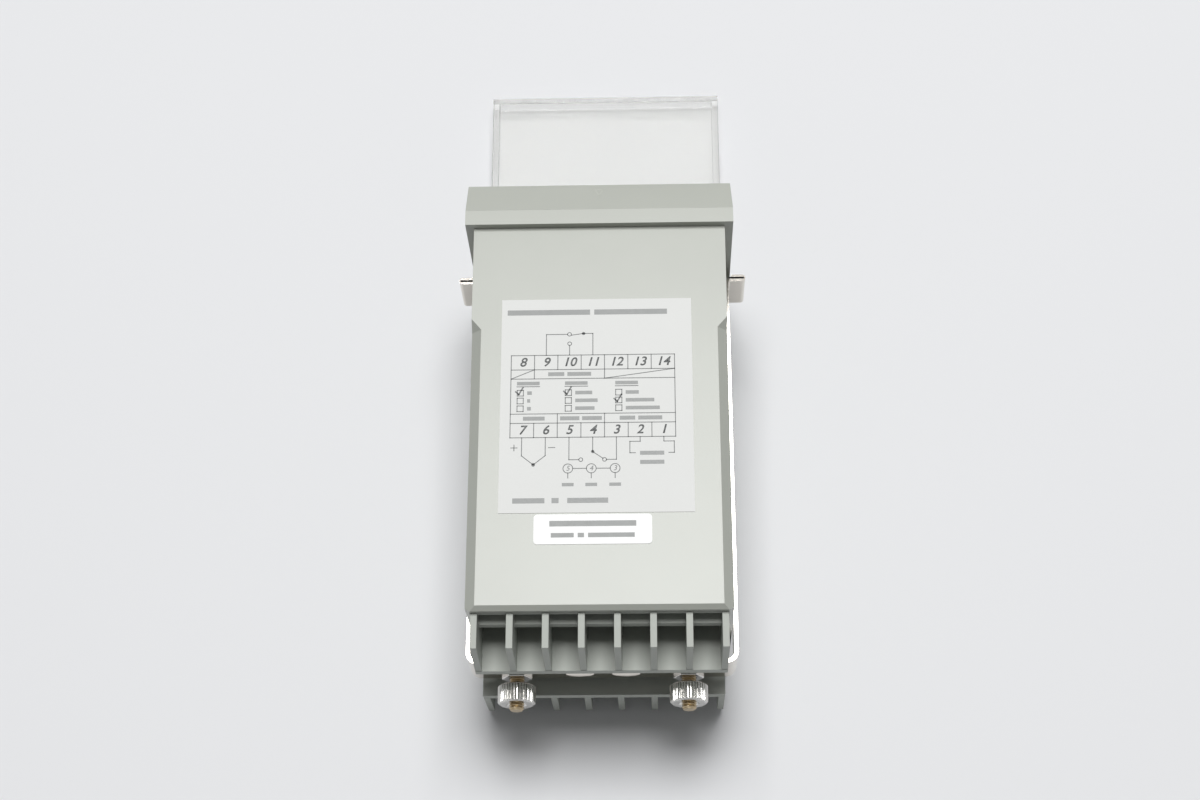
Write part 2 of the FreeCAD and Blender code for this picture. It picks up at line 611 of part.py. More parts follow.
def make_cover():
    half = "bezel_size/2 - cover_inset"
    free_edge = HINGE_Y + " + bezel_size - hinge_rise - cover_top"
    root = HINGE_Y + " + pin_radius + press_gap"
    deep = about(HINGE_Z, "cover_depth/2")
    axle = (HINGE_Y, HINGE_Z)
    lug_inside = "lug_x - lug_width/2 - run_gap"
    lug_outside = "lug_x + lug_width/2 + run_gap"
    pin_end = lug_inside + " - pin_grip"
    plate = block("cover_plate", both(half), (root, free_edge), (deep[0], deep[0] + " + cover_wall"))
    barrel = rod("cover_barrel", "x", "cover_depth/2", both(lug_inside), axle)
    notches = []
    barrel_holes = []
    pieces = [block("cover_far_wall", both(half), (free_edge + " - cover_wall", free_edge), deep)]
    pins = []
    for side, sign in SIDES:
        notches.append(block("cover_notch_" + side, sided(sign, lug_inside, lug_outside),
                             about(HINGE_Y, "cover_depth/2 + run_gap"), about(HINGE_Z, "cover_depth")))
        barrel_holes.append(rod("cover_barrel_hole_" + side, "x", "pin_radius + press_gap",
                                sided(sign, pin_end, "lug_x"), axle))
        pieces.append(block("cover_side_" + side, sided(sign, half + " - cover_wall", half),
                            (root, free_edge), deep))
        knuckle = rod("cover_knuckle_solid_" + side, "x", "cover_depth/2",
                      sided(sign, lug_outside, half), axle)
        knuckle_hole = rod("cover_knuckle_hole_" + side, "x", "pin_radius + press_gap",
                           sided(sign, "lug_x", half + " + over_cut"), axle)
        pieces.append(carve("cover_knuckle_" + side, knuckle, [knuckle_hole]))
        pins.append(rod("hinge_pin_" + side, "x", "pin_radius",
                        sided(sign, pin_end, half + " - fit_gap"), axle))
    pieces.append(carve("cover_notched_plate", plate, notches))
    pieces.append(carve("cover_drilled_barrel", barrel, barrel_holes))
    keep(join("clear_cover", pieces), "clear_cover")
    keep_group("hinge_pins", pins)


def rib(name, side, middle):
    """Wall between two terminals, whose rear edge leans."""
    wall = doc.addObject("Part::Wedge", name)
    long_end = TIER_END
    short_end = TIER_END + " + rib_lean"
    low_end, high_end = (long_end, short_end) if side > 0 else (short_end, long_end)
    z = sided(side, "tier_inner", SKIRT)
    x = about(middle, "rib_thickness/2")
    bind(wall, Xmin=low_end, Xmax=CASE_END, X2min=high_end, X2max=CASE_END,
         Ymin=z[0], Ymax=z[1], Zmin=x[0], Zmax=x[1], Z2min=x[0], Z2max=x[1])
    wall.Placement = Placement(Vector(), Rotation(Vector(1, 1, 1), 120))
    return wall


def tail_height(side):
    """Height of the slot that a contact's tail passes through."""
    return sided(side, CONTACT_LOW + " - press_gap", CONTACT_LOW + " + contact_thickness + press_gap")


def make_terminal_strip(tier, side):
    pieces = [
        block(tier + "_plug", both(SKIRT), (CASE_END, PLUG_FRONT), sided(side, "tier_inner", SKIRT)),
        block(tier + "_floor", both(HALF_ROW + " + rib_thickness/2"), (TIER_END, CASE_END),
              sided(side, "tier_inner", TIER_FLOOR)),
        block(tier + "_shelf", both(HALF_ROW), (CASE_END + " - shelf_reach", CASE_END),
              sided(side, SHELF_LOW, SHELF_HIGH)),
    ]
    cutters = []
    mouth = (CASE_END, POCKET_BOTTOM)
    for way in WAYS:
        middle = way_x(way)
        pieces.append(rib("%s_rib_%d" % (tier, way), side, middle + " - way_pitch/2"))
        width = about(middle, "way_pitch/2 - rib_thickness/2")
        cutters.append(block("%s_pocket_%d" % (tier, way), width, mouth,
                             sided(side, TIER_FLOOR, SHELF_LOW)))
        cutters.append(block("%s_upper_pocket_%d" % (tier, way), width, mouth,
                             sided(side, SHELF_HIGH, SKIRT + " - pocket_roof")))
        cutters.append(rod("%s_screw_hole_%d" % (tier, way), "y", "screw_radius + press_gap",
                           (POCKET_BOTTOM, POCKET_BOTTOM + " + screw_bite + fit_gap"),
                           (middle, "%d*(%s)" % (side, SCREW_RISE))))
        cutters.append(block("%s_tail_slot_%d" % (tier, way), about(middle, "tail_half + press_gap"),
                             past((POCKET_BOTTOM, PLUG_FRONT)), tail_height(side)))
    pieces.append(rib(tier + "_rib_end", side, HALF_ROW))
    strip = carve(tier + "_terminal_strip", join(tier + "_strip_solid", pieces), cutters)
    keep(strip, tier + "_terminal_strip")


def make_terminal_hardware():
    screws = []
    clamps = []
    contacts = []
    plate_rear = POCKET_BOTTOM + " - contact_thickness"
    clamp_rear = plate_rear + " - clamp_thickness"
    head_rear = clamp_rear + " - screw_head_depth"
    slot_y = (head_rear + " - over_cut", head_rear + " + slot_width")
    arms = (("slot_length/2", "slot_width/2"), ("slot_width/2", "slot_length/2"))
    for tier, side in TIERS:
        for way in WAYS:
            tag = "%s_%d" % (tier, way)
            middle = way_x(way)
            place = (middle, "%d*(%s)" % (side, SCREW_RISE))
            head = rod("screw_head_" + tag, "y", "screw_head_radius", (head_rear, clamp_rear), place)
            shank = rod("screw_shank_" + tag, "y", "screw_radius",
                        (clamp_rear, POCKET_BOTTOM + " + screw_bite"), place)
            cross = [block("screw_slot_%s_%d" % (tag, turn), about(place[0], across), slot_y,
                           about(place[1], up)) for turn, (across, up) in enumerate(arms)]
            screws.append(carve("screw_" + tag, join("screw_solid_" + tag, [head, shank]), cross))
            plate = block("clamp_plate_" + tag, about(place[0], "clamp_half"), (clamp_rear, plate_rear),
                          about(place[1], "clamp_half"))
            hole = rod("clamp_hole_" + tag, "y", "screw_radius + press_gap",
                       past((clamp_rear, plate_rear)), place)
            clamps.append(carve("clamp_" + tag, plate, [hole]))
            face = block("contact_face_" + tag, about(middle, "contact_half"), (plate_rear, POCKET_BOTTOM),
                         sided(side, CONTACT_LOW, SHELF_LOW + " - contact_head"))
            tail = block("contact_tail_" + tag, about(middle, "tail_half"), (plate_rear, TAIL_END),
                         sided(side, CONTACT_LOW, CONTACT_LOW + " + contact_thickness"))
            gap = rod("contact_hole_" + tag, "y", "screw_radius + press_gap",
                      past((plate_rear, POCKET_BOTTOM)), place)
            contacts.append(carve("contact_" + tag, join("contact_solid_" + tag, [face, tail]), [gap]))
    keep_group("terminal_screws", screws)
    keep_group("terminal_clamps", clamps)
    keep_group("terminal_contacts", contacts)


def stud_place(sign):
    return "%d*stud_x" % sign, "0"


def make_rear_plate():
    plate = block("rear_plate_blank", both(SKIRT), (CASE_END, PLUG_FRONT), both("tier_inner"))
    holes = [rod("rear_plate_hole_" + side, "y", "stud_radius + press_gap", past((CASE_END, PLUG_FRONT)),
                 stud_place(sign)) for side, sign in SIDES]
    keep(carve("rear_plate", plate, holes), "rear_plate")


def make_stud(side, sign):
    place = stud_place(sign)
    head = hexagon(side + "_stud_head", "hex_flats", (PLUG_FRONT, PLUG_FRONT + " + stud_head"), place)
    shank = rod(side + "_stud_shank", "y", "stud_radius", (STUD_END + " + stud_tip", PLUG_FRONT), place)
    tip = taper(side + "_stud_tip", "y", ("stud_radius - stud_tip", "stud_radius"),
                (STUD_END, STUD_END + " + stud_tip"), place)
    keep(join(side + "_stud", [head, shank, tip]), side + "_stud")


def make_lock_nuts():
    nuts = []
    span = (LOCK_NUT_REAR, LOCK_NUT_FRONT)
    for side, sign in SIDES:
        place = stud_place(sign)
        body = hexagon("lock_nut_body_" + side, "hex_flats", span, place)
        bore = rod("lock_nut_bore_" + side, "y", "stud_radius + press_gap", past(span), place)
        nuts.append(carve("lock_nut_" + side, body, [bore]))
    keep_group("lock_nuts", nuts)


def make_thumb_nut(side, sign):
    place = stud_place(sign)
    span = (NUT_REAR, NUT_FRONT)
    body = rod(side + "_nut_body", "y", "nut_radius", span, place)
    cutters = round_grooves(side + "_nut_groove", "y", "nut_ridges", "nut_groove", "nut_radius",
                            past(span), place)
    cutters.append(rod(side + "_nut_bore", "y", "stud_radius + shaft_gap", past(span), place))
    cutters.append(taper(side + "_nut_dish", "y", ("nut_dish_radius", "stud_radius + shaft_gap"),
                         (NUT_REAR, NUT_REAR + " + nut_dish_depth"), place))
    keep(carve(side + "_thumb_nut", body, cutters), side + "_thumb_nut")


def elbow(name, centre, inside, quarter):
    """Quarter of a bend in the bracket's strip, starting at quarter turns from +X."""
    rings = []
    turn = Rotation(Vector(0, 0, 1), 90*quarter)
    for part, radius in (("outer", inside + " + strap_sheet"), ("inner", inside)):
        ring = doc.addObject("Part::Cylinder", "%s_%s" % (name, part))
        ring.Angle = 90
        bind(ring, Radius=radius, Height="strap_height")
        rings.append(seat(ring, centre[0], centre[1], "-strap_height/2", turn=turn))
    return carve(name, rings[0], [rings[1]])


def make_bracket():
    tall = both("strap_height/2")
    tab_rear = "-tab_gap - 2*strap_sheet"
    tab_middle = "-tab_gap - strap_sheet"
    tab_bend_y = tab_rear + " - tab_bend"
    tab_bend_x = ARM_OUTSIDE + " + tab_bend"
    rear_bend_x = ARM_INSIDE + " - rear_bend"
    crossbar = (CROSSBAR_REAR, CROSSBAR_REAR + " + strap_sheet")
    rear_bend_y = crossbar[1] + " + rear_bend"
    fold_x = ARM_OUTSIDE + " + tab_reach - strap_sheet"
    half = [
        block("bracket_arm", (ARM_INSIDE, ARM_OUTSIDE), (rear_bend_y, tab_bend_y), tall),
        elbow("bracket_tab_bend", (tab_bend_x, tab_bend_y), "tab_bend", 1),
        block("bracket_tab", (tab_bend_x, fold_x), (tab_rear, tab_middle), tall),
        rod("bracket_fold", "z", "strap_sheet", tall, (fold_x, tab_middle)),
        block("bracket_tab_front", (fold_x + " - tab_fold", fold_x), (tab_middle, "-tab_gap"), tall),
        elbow("bracket_rear_bend", (rear_bend_x, rear_bend_y), "rear_bend", 3),
        block("bracket_crossbar", ("0", rear_bend_x), crossbar, tall),
    ]
    bead = doc.addObject("Part::Ellipsoid", "bracket_bead")
    bind(bead, Radius1="bead_half_height", Radius2="bead_half_length", Radius3="bead_rise")
    half.append(seat(bead, "bead_x", CROSSBAR_REAR, "-bead_drop"))
    hole = rod("bracket_hole", "y", "stud_radius + stud_slack", past(crossbar), stud_place(1))
    right = carve("bracket_right", join("bracket_half", half), [hole])
    keep(join("mounting_bracket", [right, mirror_x("bracket_left", right)]), "mounting_bracket")


def make_labels():
    on_case = (HALF_CASE, HALF_CASE + " + label_thickness")
    keep(block("wiring_label", about("label_x", "label_width/2"),
               ("-label_start - label_length", "-label_start"), on_case), "wiring_label")
    front = "-label_start - label_length - strip_label_gap"
    rear = front + " - strip_label_length"
    rounds_y = (rear + " + strip_label_round", front + " - strip_label_round")
    rounds_x = about("strip_label_x", "strip_label_width/2 - strip_label_round")
    pieces = [
        block("strip_label_long", rounds_x, (rear, front), on_case),
        block("strip_label_wide", about("strip_label_x", "strip_label_width/2"), rounds_y, on_case),
    ]
    for x in rounds_x:
        for y in rounds_y:
            pieces.append(rod("strip_label_corner_%d" % len(pieces), "z", "strip_label_round", on_case,
                              (x, y)))
    keep(join("strip_label", pieces), "strip_label")


def make_side_boards():
    board_end = TAIL_END + " + fit_gap"
    tall = both(CAVITY + " - fit_gap")
    for name, sign in (("main_board", 1), ("power_board", -1)):
        x = sided(sign, SIDE_BOARD_INSIDE, SIDE_BOARD_INSIDE + " + board_thickness")
        keep(block(name, x, (board_end, "-side_board_start"), tall), name)
    headers = []
    for sign in (-1, 1):
        x = sided(sign, SIDE_BOARD_INSIDE + " - header_thickness", SIDE_BOARD_INSIDE)
        for y in ((BOARD_BACK + " - header_length", BOARD_BACK),
                  (TERMINAL_BOARD_FRONT, REAR_HEADER_FRONT)):
            headers.append(block("header_%d" % len(headers), x, y, both("header_half_height")))
    keep_group("board_headers", headers)


def make_terminal_board():
    half = both(CAVITY + " - fit_gap")
    y = (TERMINAL_BOARD_BACK, TERMINAL_BOARD_FRONT)
    board = block("terminal_board_blank", half, y, half)
    slots = []
    for _, side in TIERS:
        for way in WAYS:
            slots.append(block("terminal_board_slot_%d" % len(slots),
                               about(way_x(way), "tail_half + press_gap"), past(y), tail_height(side)))
    keep(carve("terminal_board", board, slots), "terminal_board")


def make_transformer():
    board_x = "-(%s)" % SIDE_BOARD_INSIDE
    coil_x = (board_x, board_x + " + core_stack + 2*coil_bulge")
    core_x = (board_x + " + coil_bulge", board_x + " + coil_bulge + core_stack")
    core_rear = CAPACITOR_Y + " + capacitor_radius + core_gap"
    long_y = (core_rear, core_rear + " + core_length")
    window_y = (long_y[0] + " + core_yoke", long_y[1] + " - core_yoke")
    core = block("core_blank", core_x, long_y, both("core_half_height"))
    windows = [block("core_window_%d" % side, past(core_x), window_y,
                     sided(side, "core_limb", "coil_half_height + fit_gap")) for _, side in TIERS]
    keep(carve("transformer_core", core, windows), "transformer_core")
    winding_y = (window_y[0] + " + fit_gap", window_y[1] + " - fit_gap")
    winding = block("winding_blank", coil_x, winding_y, both("coil_half_height"))
    limb = block("winding_limb", (core_x[0] + " - press_gap", core_x[1] + " + press_gap"),
                 past(winding_y), both("core_limb + press_gap"))
    keep(carve("transformer_coil", winding, [limb]), "transformer_coil")


def make_board_parts():
    for name, side in (("control_relay", 1), ("alarm_relay", -1)):
        y = (REAR_HEADER_FRONT + " + relay_gap", REAR_HEADER_FRONT + " + relay_gap + relay_length")
        z = about("%d*relay_rise" % side, "relay_height/2")
        foot_top = SIDE_BOARD_INSIDE + " - relay_base"
        foot = block(name + "_foot", (foot_top, SIDE_BOARD_INSIDE), y, z)
        cap = block(name + "_cap", (SIDE_BOARD_INSIDE + " - relay_depth", foot_top),
                    (y[0] + " + relay_step", y[1] + " - relay_step"),
                    about("%d*relay_rise" % side, "relay_height/2 - relay_step"))
        keep(join(name, [foot, cap]), name)
    cans = []
    board_x = "-(%s)" % SIDE_BOARD_INSIDE
    for _, side in TIERS:
        place = (CAPACITOR_Y, "%d*capacitor_rise" % side)
        can = rod("can_%d" % side, "x", "capacitor_radius",
                  (board_x, board_x + " + capacitor_length"), place)
        bead = doc.addObject("Part::Torus", "can_groove_%d" % side)
        bind(bead, Radius1="capacitor_radius", Radius2="capacitor_bead")
        place_along(bead, "x", board_x + " + 4*capacitor_bead", place)
        cans.append(carve("capacitor_%d" % side, can, [bead]))
    keep_group("filter_capacitors", cans)
    chips = []
    for number in CHIPS:
        chips.append(block("chip_%d" % number, (SIDE_BOARD_INSIDE + " - chip_depth", SIDE_BOARD_INSIDE),
                           ("-chip_start - chip_length", "-chip_start"),
                           about("(%d)*chip_pitch" % (number - 1), "chip_height/2")))
    keep_group("controller_chips", chips)


make_case_shell()
make_front_frame()
make_front_panel()
make_display()
make_display_board()
make_setting_wheels()
make_alarm_setting()
make_cover()
for tier_name, tier_side in TIERS:
    make_terminal_strip(tier_name, tier_side)
make_terminal_hardware()
make_rear_plate()
for side_name, side_sign in SIDES:
    make_stud(side_name, side_sign)
    make_thumb_nut(side_name, side_sign)
make_lock_nuts()
make_bracket()
make_labels()
make_side_boards()
make_terminal_board()
make_transformer()
make_board_parts()

doc.recompute()

# Every object has to be sound before anything is written.
for item in doc.Objects:
    if "Invalid" in item.State or "Error" in item.State:
        raise RuntimeError("%s failed: %s" % (item.Label, item.State))
for node in NODES:
    if node.Shape.isNull() or not node.Shape.isValid() or not node.Shape.Solids:
        raise RuntimeError("%s has no valid solid" % node.Label)

os.makedirs("parts", exist_ok=True)
for node in NODES:
    node.Shape.exportStep("parts/%s.step" % node.Label)
    print("%-24s %2d solids %10.1f mm3" % (node.Label, len(node.Shape.Solids), node.Shape.Volume))
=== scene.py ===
"""Looks of a panel-mount temperature controller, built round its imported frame. Lengths are in metres."""
import json
import math

import bmesh
import bpy
from mathutils import Matrix, Vector

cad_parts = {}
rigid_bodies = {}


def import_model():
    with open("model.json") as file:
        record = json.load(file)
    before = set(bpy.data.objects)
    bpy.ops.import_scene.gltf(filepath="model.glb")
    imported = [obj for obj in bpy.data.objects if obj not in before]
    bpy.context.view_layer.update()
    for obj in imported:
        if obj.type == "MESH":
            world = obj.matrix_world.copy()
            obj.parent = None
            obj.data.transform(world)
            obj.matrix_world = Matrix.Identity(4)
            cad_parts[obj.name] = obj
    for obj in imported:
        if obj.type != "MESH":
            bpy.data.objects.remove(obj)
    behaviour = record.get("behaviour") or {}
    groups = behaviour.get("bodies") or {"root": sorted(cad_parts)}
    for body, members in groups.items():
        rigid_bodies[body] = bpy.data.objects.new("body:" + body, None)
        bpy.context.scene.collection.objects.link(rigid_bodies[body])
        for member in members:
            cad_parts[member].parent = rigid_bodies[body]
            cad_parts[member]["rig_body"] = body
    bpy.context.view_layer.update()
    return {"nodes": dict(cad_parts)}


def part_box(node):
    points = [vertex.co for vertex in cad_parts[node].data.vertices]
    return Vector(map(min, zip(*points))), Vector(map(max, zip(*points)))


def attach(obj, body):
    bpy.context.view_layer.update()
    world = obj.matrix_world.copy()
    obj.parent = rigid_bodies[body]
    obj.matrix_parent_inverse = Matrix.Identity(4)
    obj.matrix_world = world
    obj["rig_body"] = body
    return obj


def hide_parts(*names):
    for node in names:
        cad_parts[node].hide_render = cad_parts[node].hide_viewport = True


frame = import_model()
NODES = frame["nodes"]
MM = 0.001

# Camera: place, the point it looks at, roll, lens and the nearest thing it sees
CAMERA_PLACE = Vector((14.1, -254.3, 512.7))*MM
CAMERA_TARGET = Vector((0.22, -50.6, 33.75))*MM
CAMERA_ROLL = math.radians(-4.22)
CAMERA_LENS = 60.227
SENSOR_WIDTH = 36.0
CAMERA_CLIP = 0.01

MERGE_DISTANCE = 1e-7
FLAT_ANGLE = math.radians(0.5)
BEVEL_ANGLE = math.radians(30)
PRINT_THICKNESS = 0.02*MM


def linear(red, green, blue):
    """Linear colour of an sRGB colour given from 0 to 255."""
    def channel(value):
        value /= 255
        return value/12.92 if value <= 0.04045 else ((value + 0.055)/1.055)**2.4
    return channel(red), channel(green), channel(blue), 1.0


def shaded(colour, factor):
    """A lighter or darker tone of a colour."""
    return tuple(min(1.0, part*factor) for part in colour[:3]) + (1.0,)


# Materials

NOISE_LOW = 0.3
NOISE_HIGH = 0.7
CLOUD_DETAIL = 5.0
GRAIN_DETAIL = 2.0
LEAST_ROUGH = 0.02
TRACK_PITCH = 6*MM
TRACK_WIDTH = 0.03


def noise(tree, place, size, detail, stretch=None):
    """Noise with features of a size in millimetres, stretched along an axis if asked."""
    if stretch:
        mapping = tree.nodes.new("ShaderNodeMapping")
        mapping.inputs["Scale"].default_value = stretch
        tree.links.new(place, mapping.inputs["Vector"])
        place = mapping.outputs["Vector"]
    texture = tree.nodes.new("ShaderNodeTexNoise")
    texture.inputs["Scale"].default_value = 1/(size*MM)
    texture.inputs["Detail"].default_value = detail
    tree.links.new(place, texture.inputs["Vector"])
    return texture.outputs["Fac"]


def span(tree, value, low, high):
    """Spread a noise value between two limits."""
    node = tree.nodes.new("ShaderNodeMapRange")
    node.inputs["From Min"].default_value = NOISE_LOW
    node.inputs["From Max"].default_value = NOISE_HIGH
    node.inputs["To Min"].default_value = low
    node.inputs["To Max"].default_value = high
    tree.links.new(value, node.inputs["Value"])
    return node.outputs["Result"]


def mixed(tree, factor, first, second):
    """Mix two colours, each a plain colour or a socket."""
    node = tree.nodes.new("ShaderNodeMix")
    node.data_type = "RGBA"
    tree.links.new(factor, node.inputs[0])
    for socket, colour in ((node.inputs[6], first), (node.inputs[7], second)):
        if isinstance(colour, tuple):
            socket.default_value = colour
        else:
            tree.links.new(colour, socket)
    return node.outputs[2]


def surface(name, colour, rough, mottle=0.04, mottle_size=14.0, gloss_range=0.06, grain=0.15,
            grain_size=0.25, grain_depth=0.03, stretch=None, **sockets):
    """Surface with a cloudy tone, uneven gloss and a fine grain; sockets are plain shader values."""
    material = bpy.data.materials.new(name)
    material.use_nodes = True
    tree = material.node_tree
    shader = tree.nodes["Principled BSDF"]
    place = tree.nodes.new("ShaderNodeTexCoord").outputs["Object"]
    cloud = noise(tree, place, mottle_size, CLOUD_DETAIL)
    tone = mixed(tree, cloud, shaded(colour, 1 - mottle), shaded(colour, 1 + mottle))
    tree.links.new(tone, shader.inputs["Base Color"])
    fine = noise(tree, place, grain_size, GRAIN_DETAIL, stretch)
    tree.links.new(span(tree, fine, max(rough - gloss_range, LEAST_ROUGH), rough + gloss_range),
                   shader.inputs["Roughness"])
    bump = tree.nodes.new("ShaderNodeBump")
    bump.inputs["Strength"].default_value = grain
    bump.inputs["Distance"].default_value = grain_depth*MM
    tree.links.new(fine, bump.inputs["Height"])
    tree.links.new(bump.outputs["Normal"], shader.inputs["Normal"])
    for socket, value in sockets.items():
        shader.inputs[socket.replace("_", " ").title().replace("Ior", "IOR")].default_value = value
    return material


def metal(name, colour, rough, stretch=None):
    """Bare or plated metal, with fine drawn lines along the stretched axis."""
    return surface(name, colour, rough, mottle=0.06, mottle_size=5.0, gloss_range=0.03, grain=0.08,
                   grain_size=0.12, grain_depth=0.01, stretch=stretch, metallic=1.0)


def circuit_board(name):
    """Green resist over copper tracks that run in two directions."""
    green = linear(24, 84, 52)
    material = surface(name, green, 0.4, mottle=0.1, mottle_size=8.0)
    tree = material.node_tree
    shader = tree.nodes["Principled BSDF"]
    place = tree.nodes.new("ShaderNodeTexCoord").outputs["Object"]
    tracks = tree.nodes.new("ShaderNodeTexBrick")
    tracks.inputs["Scale"].default_value = 1/TRACK_PITCH
    tracks.inputs["Mortar Size"].default_value = TRACK_WIDTH
    tracks.inputs["Color1"].default_value = green
    tracks.inputs["Color2"].default_value = shaded(green, 0.85)
    tracks.inputs["Mortar"].default_value = linear(66, 128, 84)
    tree.links.new(place, tracks.inputs["Vector"])
    tree.links.new(tracks.outputs["Color"], shader.inputs["Base Color"])
    return material


CASE_GREY = linear(172, 175, 167)
TERMINAL_GREY = linear(170, 174, 167)
CASE = surface("case_plastic", CASE_GREY, 0.35, specular_ior_level=0.55)
TERMINAL = surface("terminal_plastic", TERMINAL_GREY, 0.5, specular_ior_level=0.35)
PANEL = surface("panel_plastic", linear(52, 54, 56), 0.45, grain=0.25)
BLACK = surface("black_plastic", linear(30, 30, 31), 0.42, grain=0.2)
LABEL = surface("label_film", linear(224, 225, 223), 0.5, mottle=0.012, grain=0.05, specular_ior_level=0.2)
WHITE_LABEL = surface("white_label_film", linear(240, 241, 240), 0.45, mottle=0.01, grain=0.05)
INK = surface("label_ink", linear(104, 106, 106), 0.5, mottle=0.1, mottle_size=2.0)
PALE_INK = surface("pale_ink", linear(148, 150, 149), 0.5, mottle=0.08, mottle_size=2.0)
WHITE_INK = surface("white_ink", linear(226, 226, 222), 0.5, mottle=0.05, mottle_size=2.0)
NICKEL = metal("bracket_nickel", linear(216, 211, 203), 0.06, stretch=(8.0, 8.0, 0.6))
CHROME = metal("nut_chrome", linear(208, 207, 204), 0.13)
STEEL = metal("zinc_steel", linear(196, 198, 200), 0.28)
# Painted shadow: near-black tone for the shaded gap between the bracket's folded layers
SHADOW = surface("fold_shadow", linear(26, 25, 24), 0.8, specular_ior_level=0.1)
# Painted highlight: a lighter copy of the case grey for the light caught by the raised mark
MARK_HIGHLIGHT = surface("moulded_mark_painted_highlight", shaded(CASE_GREY, 1.1), 0.5)
BRASS = metal("stud_brass", linear(178, 162, 134), 0.32)
TINNED = metal("tinned_brass", linear(206, 194, 158), 0.3)
IRON = metal("core_iron", linear(92, 92, 96), 0.5, stretch=(12.0, 0.4, 0.4))
TAPE = surface("winding_tape", linear(206, 170, 72), 0.35, mottle=0.08, mottle_size=4.0,
               stretch=(0.3, 4.0, 4.0))
RELAY = surface("relay_cap", linear(40, 74, 138), 0.3)
SLEEVE = surface("capacitor_sleeve", linear(28, 34, 62), 0.3, mottle=0.15, mottle_size=6.0)
BOARD = circuit_board("green_board")
LAMP = surface("lamp_lens", linear(178, 34, 30), 0.25, grain=0.05, transmission_weight=0.3)
SEGMENT = surface("display_segment", linear(120, 40, 38), 0.4, mottle=0.1, mottle_size=1.0)
WINDOW = surface("red_window", linear(112, 16, 18), 0.08, gloss_range=0.03, grain=0.02,
                 transmission_weight=0.75, ior=1.49)
COVER_PASSES = 0.27
CLEAR = surface("clear_plastic", linear(252, 252, 250), 0.02, mottle=0.004, gloss_range=0.01, grain=0.0,
                transmission_weight=0.96, ior=1.49)


def pass_light(material, share):
    """Let a share of the lamps' light through a clear material instead of a full shadow."""
    tree = material.node_tree
    level = tree.nodes.new("ShaderNodeMapRange")
    level.inputs["To Min"].default_value = 1.0
    level.inputs["To Max"].default_value = 1 - share
    tree.links.new(tree.nodes.new("ShaderNodeLightPath").outputs["Is Shadow Ray"], level.inputs["Value"])
    tree.links.new(level.outputs["Result"], tree.nodes["Principled BSDF"].inputs["Alpha"])


pass_light(CLEAR, COVER_PASSES)


# Pieces


def body_of(node):
    """Moving body that carries a CAD node."""
    return NODES[node]["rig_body"]


def add_piece(name, mesh, material, body):
    """Put a finished mesh in the scene, on a body, with its material in a slot."""
    mesh.materials.append(material)
    piece = bpy.data.objects.new(name, mesh)
    bpy.context.scene.collection.objects.link(piece)
    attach(piece, body)
    return piece


def mesh_from(name, bm, smooth=True):
    """Close a bmesh into a mesh with outward faces."""
    bmesh.ops.recalc_face_normals(bm, faces=bm.faces)
    mesh = bpy.data.meshes.new(name)
    bm.to_mesh(mesh)
    bm.free()
    if smooth:
        mesh.shade_smooth()
    return mesh


def round_edges(piece, width, segments):
    """Bevel the sharp edges of a piece, width in millimetres."""
    bevel = piece.modifiers.new("edges", "BEVEL")
    bevel.width = width*MM
    bevel.segments = segments
    bevel.limit_method = "ANGLE"
    bevel.angle_limit = BEVEL_ANGLE
    piece.modifiers.new("normals", "WEIGHTED_NORMAL")


def rounded(node, material, width, segments=2):
    """Copy of a CAD node with its edges rounded, width in millimetres, shown in the node's place."""
    bm = bmesh.new()
    bm.from_mesh(NODES[node].data)
    bmesh.ops.remove_doubles(bm, verts=bm.verts, dist=MERGE_DISTANCE)
    bmesh.ops.dissolve_limit(bm, angle_limit=FLAT_ANGLE, verts=bm.verts, edges=bm.edges)
    piece = add_piece(node + "_rounded", mesh_from(node + "_rounded", bm), material, body_of(node))
    round_edges(piece, width, segments)
    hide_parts(node)


def dress(node, material):
    """Give a CAD node that stays as it is its material."""
    for slot in NODES[node].material_slots:
        slot.material = material


def skin(bm, rings, closed=False):
    """Skin through rings of equally many points: a loop of rings, or a tube capped at both ends."""
    rows = [[bm.verts.new(point) for point in ring] for ring in rings]
    following = rows[1:] + rows[:1] if closed else rows[1:]
    for row, other in zip(rows, following):
        for number in range(len(row)):
            after = (number + 1) % len(row)
            bm.faces.new((row[number], row[after], other[after], other[number]))
    if not closed:
        bm.faces.new(rows[0])
        bm.faces.new(rows[-1])


STUD_RADIUS = 2.0*MM
THREAD_PITCH = 0.7*MM
THREAD_DEPTH = 0.4*MM
THREAD_STEPS = 8
THREAD_POINTS = 32
THREAD_STEEPNESS = 1.25
STUD_TIP = 0.5*MM
STUD_HEAD = 2.8*MM
HEAD_BEVEL = 0.25*MM
HEAD_END_SHARE = 0.92


def thread_radius(turns):
    """Rounded V-thread; turns is how far round and along the helix a point is."""
    rise = 1 - abs(2*(turns % 1.0) - 1)
    return STUD_RADIUS - THREAD_DEPTH*(1 - min(1.0, THREAD_STEEPNESS*rise))


